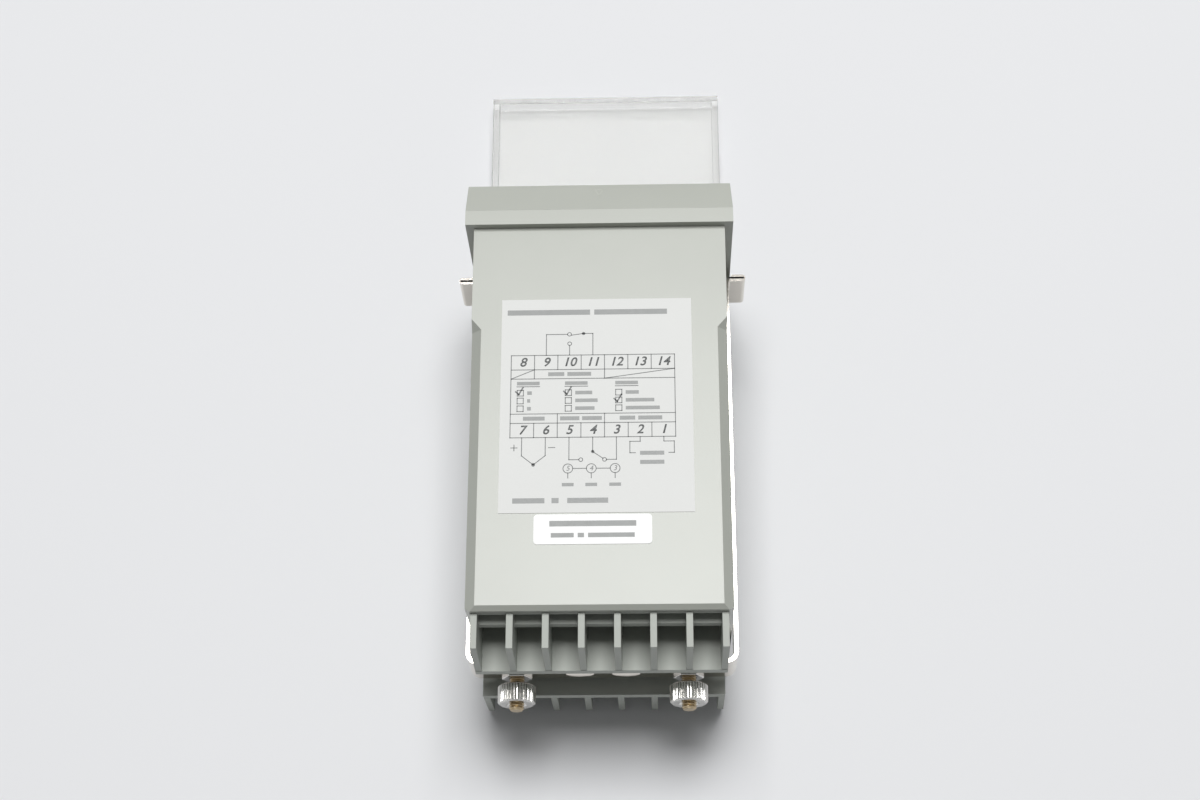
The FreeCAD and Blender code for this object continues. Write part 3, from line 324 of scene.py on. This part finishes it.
def threaded_stud(node):
    """Stud with a helical thread, a chamfered tip and its hexagonal head."""
    low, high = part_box(node)
    middle_x = (low.x + high.x)/2
    length = high.y - low.y
    count = round(length/THREAD_PITCH*THREAD_STEPS)
    rings = []
    for step in range(count + 1):
        along = step*length/count
        limit = STUD_RADIUS - STUD_TIP + along
        ring = []
        for point in range(THREAD_POINTS):
            angle = 2*math.pi*point/THREAD_POINTS
            radius = min(thread_radius(along/THREAD_PITCH - point/THREAD_POINTS), limit)
            ring.append((middle_x + radius*math.cos(angle), low.y + along, radius*math.sin(angle)))
        rings.append(ring)
    bm = bmesh.new()
    skin(bm, rings)
    head = []
    head_radius = (high.x - low.x)/2
    for along, share in ((0.0, HEAD_END_SHARE), (HEAD_BEVEL, 1.0), (STUD_HEAD - HEAD_BEVEL, 1.0),
                         (STUD_HEAD, HEAD_END_SHARE)):
        head.append([(middle_x + share*head_radius*math.cos(math.radians(60*corner)),
                      high.y - STUD_HEAD + along, share*head_radius*math.sin(math.radians(60*corner)))
                     for corner in range(6)])
    skin(bm, head)
    piece = add_piece(node + "_threaded", mesh_from(node + "_threaded", bm, smooth=False), BRASS,
                      body_of(node))
    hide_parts(node)


KNURL_RIDGES = 40
KNURL_STEPS = 10
KNURL_DEPTH = 0.35*MM
NUT_BORE = 2.05*MM
NUT_DISH = 2.7*MM
NUT_DISH_DEPTH = 0.8*MM
KNURL_STEEPNESS = 1.4
NUT_EDGE = 0.5*MM
NUT_SHOULDER = 0.35*MM
SHOULDER_SHARE = 0.97
FRONT_FACE_SHARE = 0.86
REAR_FACE_SHARE = 0.88


def knurled_nut(node):
    """Nut with straight ridges that run out at its bevelled ends, and a dish at the rear."""
    low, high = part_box(node)
    middle_x = (low.x + high.x)/2
    radius = (high.x - low.x)/2
    stations = ((high.y, NUT_BORE), (high.y, FRONT_FACE_SHARE*radius),
                (high.y - NUT_SHOULDER, SHOULDER_SHARE*radius), (high.y - NUT_EDGE, radius),
                (low.y + NUT_EDGE, radius), (low.y + NUT_SHOULDER, SHOULDER_SHARE*radius),
                (low.y, REAR_FACE_SHARE*radius), (low.y, NUT_DISH), (low.y + NUT_DISH_DEPTH, NUT_BORE))
    count = KNURL_RIDGES*KNURL_STEPS
    rings = []
    for y, limit in stations:
        ring = []
        for point in range(count):
            angle = 2*math.pi*point/count
            across = 1 - abs(2*(point/KNURL_STEPS % 1.0) - 1)
            ridge = radius - KNURL_DEPTH*max(0.0, 1 - KNURL_STEEPNESS*across)
            reach = min(limit, ridge)
            ring.append((middle_x + reach*math.cos(angle), y, reach*math.sin(angle)))
        rings.append(ring)
    bm = bmesh.new()
    skin(bm, rings, closed=True)
    piece = add_piece(node + "_knurled", mesh_from(node + "_knurled", bm, smooth=False), CHROME,
                      body_of(node))
    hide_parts(node)


# Printing: flat shapes in millimetres on a face, given a little thickness

FONT_SIZE_PER_HEIGHT = 1.4
PRINT_MERGE = 1e-6


def stroke(bm, points, width):
    """Line of a width through points, with square ends."""
    for (x1, y1), (x2, y2) in zip(points, points[1:]):
        along = Vector((x2 - x1, y2 - y1)).normalized()*width/2
        side = Vector((-along.y, along.x))
        start = Vector((x1, y1)) - along
        end = Vector((x2, y2)) + along
        corners = (start - side, end - side, end + side, start + side)
        bm.faces.new([bm.verts.new((corner.x, corner.y, 0)) for corner in corners])


def bar(bm, x1, y1, x2, y2):
    """Filled rectangle between two corners."""
    bm.faces.new([bm.verts.new((x, y, 0)) for x, y in ((x1, y1), (x2, y1), (x2, y2), (x1, y2))])


def box_outline(bm, x1, y1, x2, y2, width):
    """Rectangle between two corners, drawn as a line of a width."""
    stroke(bm, ((x1, y1), (x2, y1), (x2, y2), (x1, y2), (x1, y1)), width)


def ring_line(bm, x, y, radius, width, count=24):
    """Circle drawn as a line of a width."""
    inner = []
    outer = []
    for number in range(count):
        turn = Vector((math.cos(2*math.pi*number/count), math.sin(2*math.pi*number/count)))
        for reach, row in ((radius - width/2, inner), (radius + width/2, outer)):
            row.append(bm.verts.new((x + reach*turn.x, y + reach*turn.y, 0)))
    for number in range(count):
        after = (number + 1) % count
        bm.faces.new((inner[number], outer[number], outer[after], inner[after]))


def disc(bm, x, y, radius, count=16):
    """Filled circle."""
    turns = [2*math.pi*number/count for number in range(count)]
    bm.faces.new([bm.verts.new((x + radius*math.cos(turn), y + radius*math.sin(turn), 0))
                  for turn in turns])


def figures(bm, text, x, y, height, lean=0.0, weight=0.0, turn=Matrix.Identity(4)):
    """Plain numbers centred on a place."""
    curve = bpy.data.curves.new("figures", "FONT")
    curve.body = text
    curve.size = height*FONT_SIZE_PER_HEIGHT
    curve.shear = lean
    curve.offset = weight
    curve.align_x = "CENTER"
    curve.align_y = "CENTER"
    curve.resolution_u = 4
    text_object = bpy.data.objects.new("figures", curve)
    bpy.context.scene.collection.objects.link(text_object)
    bpy.context.view_layer.update()
    evaluated = text_object.evaluated_get(bpy.context.evaluated_depsgraph_get())
    shapes = bpy.data.meshes.new_from_object(evaluated)
    shapes.transform(turn @ Matrix.Translation((x, y, 0)))
    bm.from_mesh(shapes)
    bpy.data.objects.remove(text_object)
    bpy.data.curves.remove(curve)
    bpy.data.meshes.remove(shapes)


def word_bars(bm, y, height, *ends):
    """Plain bars that stand where words would be, each from one end to the next."""
    for left, right in zip(ends[::2], ends[1::2]):
        bar(bm, left, y - height/2, right, y + height/2)


def film(piece):
    """Give flat shapes the thickness of print."""
    thick = piece.modifiers.new("film", "SOLIDIFY")
    thick.thickness = PRINT_THICKNESS
    thick.offset = 1.0


def printed(name, bm, origin, right, up, material, body):
    """Lay flat shapes on a face, given where it is and which ways are right and up on it."""
    bmesh.ops.remove_doubles(bm, verts=bm.verts, dist=PRINT_MERGE)
    normal = right.cross(up)
    place = Matrix((right, up, normal)).transposed().to_4x4()
    place.translation = origin
    bm.transform(place @ Matrix.Scale(MM, 4))
    mesh = bpy.data.meshes.new(name)
    bm.to_mesh(mesh)
    bm.free()
    film(add_piece(name, mesh, material, body))


# Wiring label's layout, in millimetres from its front left corner, downwards as it is read
GRID_LEFT = 2.7
COLUMN = 6.1
ROWS = {"top": 16.2, "numbers": 20.3, "names": 22.9, "boxes": 32.8, "lower_names": 35.4, "bottom": 39.4}
LINE = 0.22
COLUMNS = 7
NUMBER_HEIGHT = 2.5
NUMBER_LEAN = 0.25
NUMBER_WEIGHT = 0.06
RING = 0.5
DOT = 0.45
ALARM_ROW = 10.2
SUPPLY_ROW = 40.7
CONTACT_ROW = 45.6
CIRCLE_ROW = 48.0
CIRCLE = 1.25
BOX_HALF = 0.8
BOX_FIRST = 26.9
BOX_PITCH = 2.2
TICK_LINE = 0.4


def column_edge(number):
    """Left edge of a column of the grid."""
    return GRID_LEFT + number*COLUMN


def column_middle(number):
    """Middle of a column of the grid."""
    return GRID_LEFT + (number + 0.5)*COLUMN


def wiring_print():
    """Terminal grid, contact and sensor symbols, and check boxes, with bars for the words."""
    low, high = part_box("wiring_label")
    dark = bmesh.new()
    pale = bmesh.new()

    def line(*points, width=LINE, ink=dark):
        stroke(ink, [(x, -y) for x, y in points], width)

    right = column_edge(COLUMNS)
    for row in ROWS.values():
        line((GRID_LEFT, row), (right, row))
    line((GRID_LEFT, ROWS["top"]), (GRID_LEFT, ROWS["bottom"]))
    line((right, ROWS["top"]), (right, ROWS["bottom"]))
    for number in range(1, COLUMNS):
        line((column_edge(number), ROWS["top"]), (column_edge(number), ROWS["numbers"]))
        line((column_edge(number), ROWS["lower_names"]), (column_edge(number), ROWS["bottom"]))
    for number in (1, 4):
        line((column_edge(number), ROWS["numbers"]), (column_edge(number), ROWS["names"]))
    for number in (2, 4):
        line((column_edge(number), ROWS["boxes"]), (column_edge(number), ROWS["lower_names"]))
    line((GRID_LEFT, ROWS["names"]), (column_edge(1), ROWS["numbers"]))
    line((column_edge(4), ROWS["names"]), (right, ROWS["numbers"]))
    upper_row = (ROWS["top"] + ROWS["numbers"])/2
    lower_row = (ROWS["lower_names"] + ROWS["bottom"])/2
    for number in range(COLUMNS):
        for figure, row in ((8 + number, upper_row), (7 - number, lower_row)):
            figures(dark, str(figure), column_middle(number), -row, NUMBER_HEIGHT, NUMBER_LEAN,
                    NUMBER_WEIGHT)
    # Alarm contact above the grid
    line((column_middle(1), ROWS["top"]), (column_middle(1), ALARM_ROW), (17.4, ALARM_ROW))
    ring_line(dark, 17.9, -ALARM_ROW, RING, LINE)
    line((18.4, 10.45), (21.6, 10.0), (column_middle(3), 10.0), (column_middle(3), ROWS["top"]))
    disc(dark, 21.6, -10.0, DOT)
    ring_line(dark, column_middle(2), -12.9, RING, LINE)
    line((column_middle(2), 13.4), (column_middle(2), ROWS["top"]))
    # Sensor, contact and supply symbols below the grid
    line((column_middle(0), ROWS["bottom"]), (column_middle(0), 44.4), (8.8, 46.9),
         (column_middle(1), 44.4), (column_middle(1), ROWS["bottom"]))
    disc(dark, 8.8, -46.9, 0.5)
    line((3.0, 42.2), (4.6, 42.2))
    line((3.8, 41.4), (3.8, 43.0))
    line((12.7, 42.2), (14.3, 42.2))
    line((column_middle(2), ROWS["bottom"]), (column_middle(2), CONTACT_ROW), (20.5, CONTACT_ROW))
    ring_line(dark, 21.0, -CONTACT_ROW, RING, LINE)
    line((column_middle(3), ROWS["bottom"]), (column_middle(3), 43.4), (26.7, 45.3))
    disc(dark, column_middle(3), -43.4, DOT)
    ring_line(dark, 27.1, -CONTACT_ROW, RING, LINE)
    line((27.6, CONTACT_ROW), (column_middle(4), CONTACT_ROW), (column_middle(4), ROWS["bottom"]))
    for number, (x, figure) in enumerate(((17.7, "5"), (23.7, "4"), (29.8, "3"))):
        ring_line(dark, x, -CIRCLE_ROW, CIRCLE, LINE)
        figures(dark, figure, x, -CIRCLE_ROW, 1.4, 0.2)
        line((x, 49.3), (x, 50.6))
        word_bars(pale, -52.4, 0.9, x - 1.5, x + 1.5)
        if number:
            line((x - 4.7, CIRCLE_ROW), (x - 1.3, CIRCLE_ROW))
    for number, outer, inner in ((5, 33.6, 35.0), (6, 45.0, 43.6)):
        line((column_middle(number), ROWS["bottom"]), (column_middle(number), SUPPLY_ROW),
             (outer, SUPPLY_ROW), (outer, 43.85), (inner, 43.85))
    word_bars(pale, -43.9, 1.1, 36.2, 42.4)
    word_bars(pale, -46.4, 1.1, 36.2, 42.4)
    # Names in the grid, and check boxes
    word_bars(pale, -21.6, 1.1, 12.4, 16.6, 17.4, 23.6)
    word_bars(pale, -34.1, 1.1, 6.0, 11.6, 15.6, 20.6, 21.3, 26.4, 31.0, 35.0, 35.8, 42.0)
    ticked = {0: 0, 1: 0, 2: 1}
    groups = ((5.2, (1.2, 0.8, 1.0)), (17.7, (4.4, 5.8, 5.0)), (30.8, (3.4, 7.4, 8.8)))
    for group, (x, widths) in enumerate(groups):
        word_bars(pale, -24.2, 1.0, x - 0.9, x + 5.0)
        line((x - 0.9, 25.1), (x + 5.0, 25.1))
        for row, wide in enumerate(widths):
            y = BOX_FIRST + BOX_PITCH*row
            box_outline(dark, x - BOX_HALF, -y - BOX_HALF, x + BOX_HALF, -y + BOX_HALF, LINE)
            word_bars(pale, -y, 1.0, x + 1.8, x + 1.8 + wide)
            if row == ticked[group]:
                line((x - 1.2, y - 0.4), (x - 0.4, y + 0.4), (x + 0.7, y - 1.6), width=TICK_LINE)
    # Title and bottom line
    word_bars(pale, -3.8, 1.5, 1.5, 23.3, 24.4, 43.6)
    word_bars(pale, -56.7, 1.4, 3.6, 11.8, 13.6, 15.4, 17.6, 28.0)
    corner = Vector((low.x, high.y, high.z))
    for name, ink, material in (("wiring_print", dark, INK), ("wiring_pale_print", pale, PALE_INK)):
        printed(name, ink, corner, Vector((1, 0, 0)), Vector((0, 1, 0)), material, "case")


def strip_print():
    """Two rows of bars on the small label."""
    low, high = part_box("strip_label")
    ink = bmesh.new()
    word_bars(ink, -2.5, 1.5, 4.0, 26.0)
    word_bars(ink, -5.6, 1.2, 4.4, 10.2, 11.2, 12.8, 13.8, 25.6)
    printed("strip_print", ink, Vector((low.x, high.y, high.z)), Vector((1, 0, 0)), Vector((0, 1, 0)),
            PALE_INK, "case")


FRAME_FRONT = 12.0*MM
FRAME_FALL = 0.6*MM
FRAME_SLOPE = 7.7*MM
FRAME_DRAFT = math.atan2(FRAME_FALL, FRAME_SLOPE)
MARK_SIZE = 2.2
MARK_LINE = 0.3
MARK_SETBACK = 2.6*MM


def frame_mark():
    """Small moulded triangle on the sloping top of the front frame, pointing to the rear, coloured a
    lighter case grey as a painted highlight.
    """
    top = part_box("front_frame")[1].z
    bm = bmesh.new()
    half = MARK_SIZE/2
    stroke(bm, ((-half, half), (half, half), (0, -0.7*half), (-half, half)), MARK_LINE)
    place = Vector((0, FRAME_FRONT - MARK_SETBACK, top - FRAME_FALL + MARK_SETBACK*math.tan(FRAME_DRAFT)))
    printed("frame_mark", bm, place, Vector((1, 0, 0)),
            Vector((0, math.cos(FRAME_DRAFT), -math.sin(FRAME_DRAFT))), MARK_HIGHLIGHT, "case")


HEM_PLACE = -2.4*MM
HEM_LINE = 0.55
HEM_START = 35.9
HEM_END = 39.6


def hem_lines():
    """Painted shadow: a dark line where the gap between the folded layers of the bracket's tabs lies in
    shade, on their upper and lower edges.
    """
    low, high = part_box("mounting_bracket")
    for name, height, up in (("upper", high.z, 1), ("lower", low.z, -1)):
        bm = bmesh.new()
        for side in (-1, 1):
            stroke(bm, ((side*HEM_START, 0), (side*HEM_END, 0)), HEM_LINE)
        printed("hem_lines_" + name, bm, Vector((0, HEM_PLACE, height)), Vector((1, 0, 0)),
                Vector((0, up, 0)), SHADOW, body_of("mounting_bracket"))


WHEEL_FACETS = 10
WHEEL_RADIUS = 6.65*MM
WHEEL_FLAT = 4.2*MM
WHEEL_FIGURE = 2.6
WHEEL_WEIGHT = 0.05
WHEEL_NODES = ("hundreds_wheel", "tens_wheel", "units_wheel")


def wheel_digits(node):
    """Figures 0 to 9 on the facets of a setting wheel, with 0 facing the front."""
    low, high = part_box(node)
    middle = (low + high)/2
    apothem = WHEEL_RADIUS*math.cos(math.pi/WHEEL_FACETS)
    bm = bmesh.new()
    for digit in range(WHEEL_FACETS):
        angle = 2*math.pi*digit/WHEEL_FACETS
        normal = Vector((0, math.cos(angle), math.sin(angle)))
        up = Vector((0, -math.sin(angle), math.cos(angle)))
        right = Vector((-1, 0, 0))
        place = Matrix((right, up, normal)).transposed().to_4x4()
        place.translation = Vector((low.x + WHEEL_FLAT/2, middle.y, middle.z)) + normal*apothem
        figures(bm, str(digit), 0, 0, WHEEL_FIGURE, 0, WHEEL_WEIGHT, place @ Matrix.Scale(MM, 4))
    mesh = bpy.data.meshes.new(node + "_digits")
    bm.to_mesh(mesh)
    bm.free()
    film(add_piece(node + "_digits", mesh, WHITE_INK, body_of(node)))


POINTER_DEPTH = 0.9*MM
POINTER_WIDTH = 0.6
POINTER_START = 0.9
POINTER_END = 4.8


def knob_pointer():
    """White line on the floor of the knob's pointer slot."""
    low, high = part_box("alarm_knob")
    middle = (low + high)/2
    bm = bmesh.new()
    stroke(bm, ((0, POINTER_START), (0, POINTER_END)), POINTER_WIDTH)
    printed("knob_pointer", bm, Vector((middle.x, high.y - POINTER_DEPTH, middle.z)), Vector((-1, 0, 0)),
            Vector((0, 0, 1)), WHITE_INK, body_of("alarm_knob"))


# Ends of the seven segments of a digit, in widths across and half heights up
SEGMENTS = (
    ((0, 2), (1, 2)), ((1, 2), (1, 1)), ((1, 1), (1, 0)), ((0, 0), (1, 0)), ((0, 0), (0, 1)),
    ((0, 1), (0, 2)), ((0, 1), (1, 1)),
)
DIGIT_WIDTH = 6.0
DIGIT_HALF = 5.0
DIGIT_PITCH = 12.0
SEGMENT_WIDTH = 1.2
SEGMENT_GAP = 0.9
POINT_SET = 1.8
POINT_RADIUS = 0.7


def display_digits():
    """Three unlit seven-segment digits on the display module."""
    low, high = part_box("display_module")
    bm = bmesh.new()
    for digit in range(3):
        left = (digit - 1)*DIGIT_PITCH - DIGIT_WIDTH/2
        for (x1, y1), (x2, y2) in SEGMENTS:
            start = Vector((left + x1*DIGIT_WIDTH, (y1 - 1)*DIGIT_HALF))
            end = Vector((left + x2*DIGIT_WIDTH, (y2 - 1)*DIGIT_HALF))
            shorten = (end - start).normalized()*SEGMENT_GAP
            stroke(bm, (tuple(start + shorten), tuple(end - shorten)), SEGMENT_WIDTH)
        disc(bm, left + DIGIT_WIDTH + POINT_SET, -DIGIT_HALF, POINT_RADIUS)
    middle = Vector(((low.x + high.x)/2, high.y, (low.z + high.z)/2))
    printed("display_digits", bm, middle, Vector((-1, 0, 0)), Vector((0, 0, 1)), SEGMENT, "case")


# Front panel's print, in millimetres; the window reaches behind the panel by its overlap
RULE_WIDTH = 0.25
WINDOW_OVERLAP = 1.5
WINDOW_MARGIN = 2.2
WHEEL_MARGIN = 1.4
WHEEL_FRAME_HALF = 8.2
KNOB_TICKS = 11
KNOB_SWEEP = 280
TICK_START = 6.4
TICK_SHORT = 7.4
TICK_LONG = 8.0
TICKS_PER_FIGURE = 5
SCALE_FIGURES = 9.6
SCALE_HEIGHT = 1.5
LAMP_HALF = 1.5*MM
LAMP_FIGURE_SET = 3.2
LAMP_FIGURE_HEIGHT = 1.6


def panel_print():
    """White rules and figures on the front panel: display border, wheel frame and the knob's scale."""
    low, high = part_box("front_panel")
    bm = bmesh.new()
    window_low, window_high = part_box("display_window")
    middle = (low + high)/2

    def across(x):
        return (middle.x - x)/MM

    def upward(z):
        return (z - middle.z)/MM

    outset = WINDOW_MARGIN - WINDOW_OVERLAP
    box_outline(bm, across(window_high.x) - outset, upward(window_low.z) - outset,
                across(window_low.x) + outset, upward(window_high.z) + outset, RULE_WIDTH)
    wheels = [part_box(node) for node in WHEEL_NODES]
    wheel_left = across(max(high_corner.x for _, high_corner in wheels)) - WHEEL_MARGIN
    wheel_right = across(min(low_corner.x for low_corner, _ in wheels)) + WHEEL_MARGIN
    axis = upward((wheels[0][0].z + wheels[0][1].z)/2)
    box_outline(bm, wheel_left, axis - WHEEL_FRAME_HALF, wheel_right, axis + WHEEL_FRAME_HALF, RULE_WIDTH)
    knob_low, knob_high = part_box("alarm_knob")
    knob_x = across((knob_low.x + knob_high.x)/2)
    knob_z = upward((knob_low.z + knob_high.z)/2)
    for tick in range(KNOB_TICKS):
        angle = math.radians(90 + KNOB_SWEEP/2 - KNOB_SWEEP/(KNOB_TICKS - 1)*tick)
        numbered = tick % TICKS_PER_FIGURE == 0
        reach = TICK_LONG if numbered else TICK_SHORT
        stroke(bm, [(knob_x + r*math.cos(angle), knob_z + r*math.sin(angle)) for r in (TICK_START, reach)],
               RULE_WIDTH)
        if numbered:
            figures(bm, str(2*tick), knob_x + SCALE_FIGURES*math.cos(angle),
                    knob_z + SCALE_FIGURES*math.sin(angle), SCALE_HEIGHT)
    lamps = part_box("indicator_lamps")
    lamp_places = (lamps[0].x + LAMP_HALF, (lamps[0].x + lamps[1].x)/2, lamps[1].x - LAMP_HALF)
    for number, x in enumerate(lamp_places):
        figures(bm, str(3 - number), across(x) + LAMP_FIGURE_SET, upward((lamps[0].z + lamps[1].z)/2),
                LAMP_FIGURE_HEIGHT)
    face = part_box("front_panel")[1].y
    printed("panel_print", bm, Vector((middle.x, face, middle.z)), Vector((-1, 0, 0)), Vector((0, 0, 1)),
            WHITE_INK, "case")


def dress_everything():
    """Finish every CAD node: rounded, rebuilt with its fine form, or as it is."""
    rounded("case_shell", CASE, 0.45, 3)
    rounded("front_frame", CASE, 0.35, 3)
    rounded("front_panel", PANEL, 0.15)
    rounded("clear_cover", CLEAR, 0.5, 3)
    rounded("upper_terminal_strip", TERMINAL, 0.18)
    rounded("lower_terminal_strip", TERMINAL, 0.18)
    rounded("rear_plate", TERMINAL, 0.1)
    rounded("mounting_bracket", NICKEL, 0.05)
    rounded("lock_nuts", CHROME, 0.2)
    rounded("terminal_screws", STEEL, 0.12)
    rounded("terminal_clamps", STEEL, 0.1)
    rounded("alarm_knob", BLACK, 0.1)
    rounded("indicator_lamps", LAMP, 0.05)
    for node in WHEEL_NODES:
        rounded(node, BLACK, 0.06)
        wheel_digits(node)
    rounded("display_window", WINDOW, 0.15)
    rounded("display_module", BLACK, 0.2)
    for node in ("left_stud", "right_stud"):
        threaded_stud(node)
    for node in ("left_thumb_nut", "right_thumb_nut"):
        knurled_nut(node)
    dress("wiring_label", LABEL)
    dress("strip_label", WHITE_LABEL)
    dress("hinge_pins", STEEL)
    dress("wheel_shaft", STEEL)
    dress("board_screws", STEEL)
    dress("setpoint_switch", BLACK)
    dress("alarm_pot", BLACK)
    dress("terminal_contacts", TINNED)
    for node in ("display_board", "main_board", "power_board", "terminal_board"):
        dress(node, BOARD)
    for node in ("board_headers", "controller_chips"):
        rounded(node, BLACK, 0.15)
    rounded("transformer_core", IRON, 0.3)
    rounded("transformer_coil", TAPE, 0.8, 3)
    rounded("control_relay", RELAY, 0.4)
    rounded("alarm_relay", RELAY, 0.4)
    rounded("filter_capacitors", SLEEVE, 0.3)


# Floor, light and camera

FLOOR_HALF = 3.0
REAR_LEDGE = 1.2*MM
FLOOR_TONE = linear(232, 233, 235)
KEY_PLACE = Vector((0.05, 0.43, 2.0))
KEY_SIZE = 0.9
KEY_POWER = 37.5
DOME_LIGHT = 0.2
DOME_SEEN = 0.85
HORIZON_SHARE = 0.6
FIRST_BOUNCE = 0.5


def make_floor():
    """Floor that meets the two edges on which the object lies."""
    shell_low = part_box("case_shell")[0]
    case_base = -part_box("wiring_label")[0].z
    rear = shell_low.y + REAR_LEDGE
    slope = (shell_low.z - case_base)/-rear
    corners = []
    for x, y in ((-1, -1), (1, -1), (1, 1), (-1, 1)):
        corners.append((x*FLOOR_HALF, y*FLOOR_HALF, shell_low.z + slope*y*FLOOR_HALF))
    mesh = bpy.data.meshes.new("floor")
    mesh.from_pydata(corners, [], [(0, 1, 2, 3)])
    floor = bpy.data.objects.new("floor", mesh)
    bpy.context.scene.collection.objects.link(floor)
    paper = surface("floor_paper", FLOOR_TONE, 0.8, mottle=0.004, mottle_size=300.0, grain=0.0)
    mesh.materials.append(paper)


def area_light(name, place, size, power):
    """Square softbox aimed at the object."""
    light = bpy.data.lights.new(name, "AREA")
    light.shape = "SQUARE"
    light.size = size
    light.energy = power
    lamp = bpy.data.objects.new(name, light)
    lamp.location = place
    lamp.rotation_euler = (CAMERA_TARGET - place).to_track_quat("-Z", "Y").to_euler()
    bpy.context.scene.collection.objects.link(lamp)


def make_world():
    """Pale dome, darker towards the horizon, and seen brighter in mirrors and glass than it lights."""
    world = bpy.data.worlds.new("studio")
    bpy.context.scene.world = world
    world.use_nodes = True
    tree = world.node_tree
    background = tree.nodes["Background"]
    background.inputs["Color"].default_value = (1.0, 1.0, 1.0, 1.0)
    path = tree.nodes.new("ShaderNodeLightPath")
    seen = path.outputs["Is Camera Ray"]
    for output in ("Is Glossy Ray", "Is Transmission Ray"):
        larger = tree.nodes.new("ShaderNodeMath")
        larger.operation = "MAXIMUM"
        tree.links.new(seen, larger.inputs[0])
        tree.links.new(path.outputs[output], larger.inputs[1])
        seen = larger.outputs[0]
    direct = tree.nodes.new("ShaderNodeMath")
    direct.operation = "LESS_THAN"
    direct.inputs[1].default_value = FIRST_BOUNCE
    tree.links.new(path.outputs["Diffuse Depth"], direct.inputs[0])
    unlit = tree.nodes.new("ShaderNodeMath")
    unlit.operation = "MULTIPLY"
    tree.links.new(seen, unlit.inputs[0])
    tree.links.new(direct.outputs[0], unlit.inputs[1])
    level = tree.nodes.new("ShaderNodeMapRange")
    level.inputs["To Min"].default_value = DOME_LIGHT
    level.inputs["To Max"].default_value = DOME_SEEN
    tree.links.new(unlit.outputs[0], level.inputs["Value"])
    parts = tree.nodes.new("ShaderNodeSeparateXYZ")
    tree.links.new(tree.nodes.new("ShaderNodeTexCoord").outputs["Generated"], parts.inputs["Vector"])
    height = tree.nodes.new("ShaderNodeMapRange")
    height.inputs["To Min"].default_value = HORIZON_SHARE
    tree.links.new(parts.outputs["Z"], height.inputs["Value"])
    strength = tree.nodes.new("ShaderNodeMath")
    strength.operation = "MULTIPLY"
    tree.links.new(level.outputs["Result"], strength.inputs[0])
    tree.links.new(height.outputs["Result"], strength.inputs[1])
    tree.links.new(strength.outputs["Value"], background.inputs["Strength"])


def make_camera():
    """Camera that looks at the rear from above."""
    camera = bpy.data.cameras.new("camera")
    camera.lens = CAMERA_LENS
    camera.sensor_width = SENSOR_WIDTH
    camera.sensor_fit = "HORIZONTAL"
    camera.clip_start = CAMERA_CLIP
    eye = bpy.data.objects.new("camera", camera)
    turn = (CAMERA_TARGET - CAMERA_PLACE).to_track_quat("-Z", "Y").to_matrix().to_4x4()
    eye.matrix_world = Matrix.Translation(CAMERA_PLACE) @ turn @ Matrix.Rotation(CAMERA_ROLL, 4, "Z")
    bpy.context.scene.collection.objects.link(eye)
    bpy.context.scene.camera = eye


dress_everything()
wiring_print()
strip_print()
frame_mark()
hem_lines()
display_digits()
panel_print()
knob_pointer()
make_floor()
area_light("key", KEY_PLACE, KEY_SIZE, KEY_POWER)
make_world()
make_camera()
bpy.context.scene.view_settings.view_transform = "Standard"
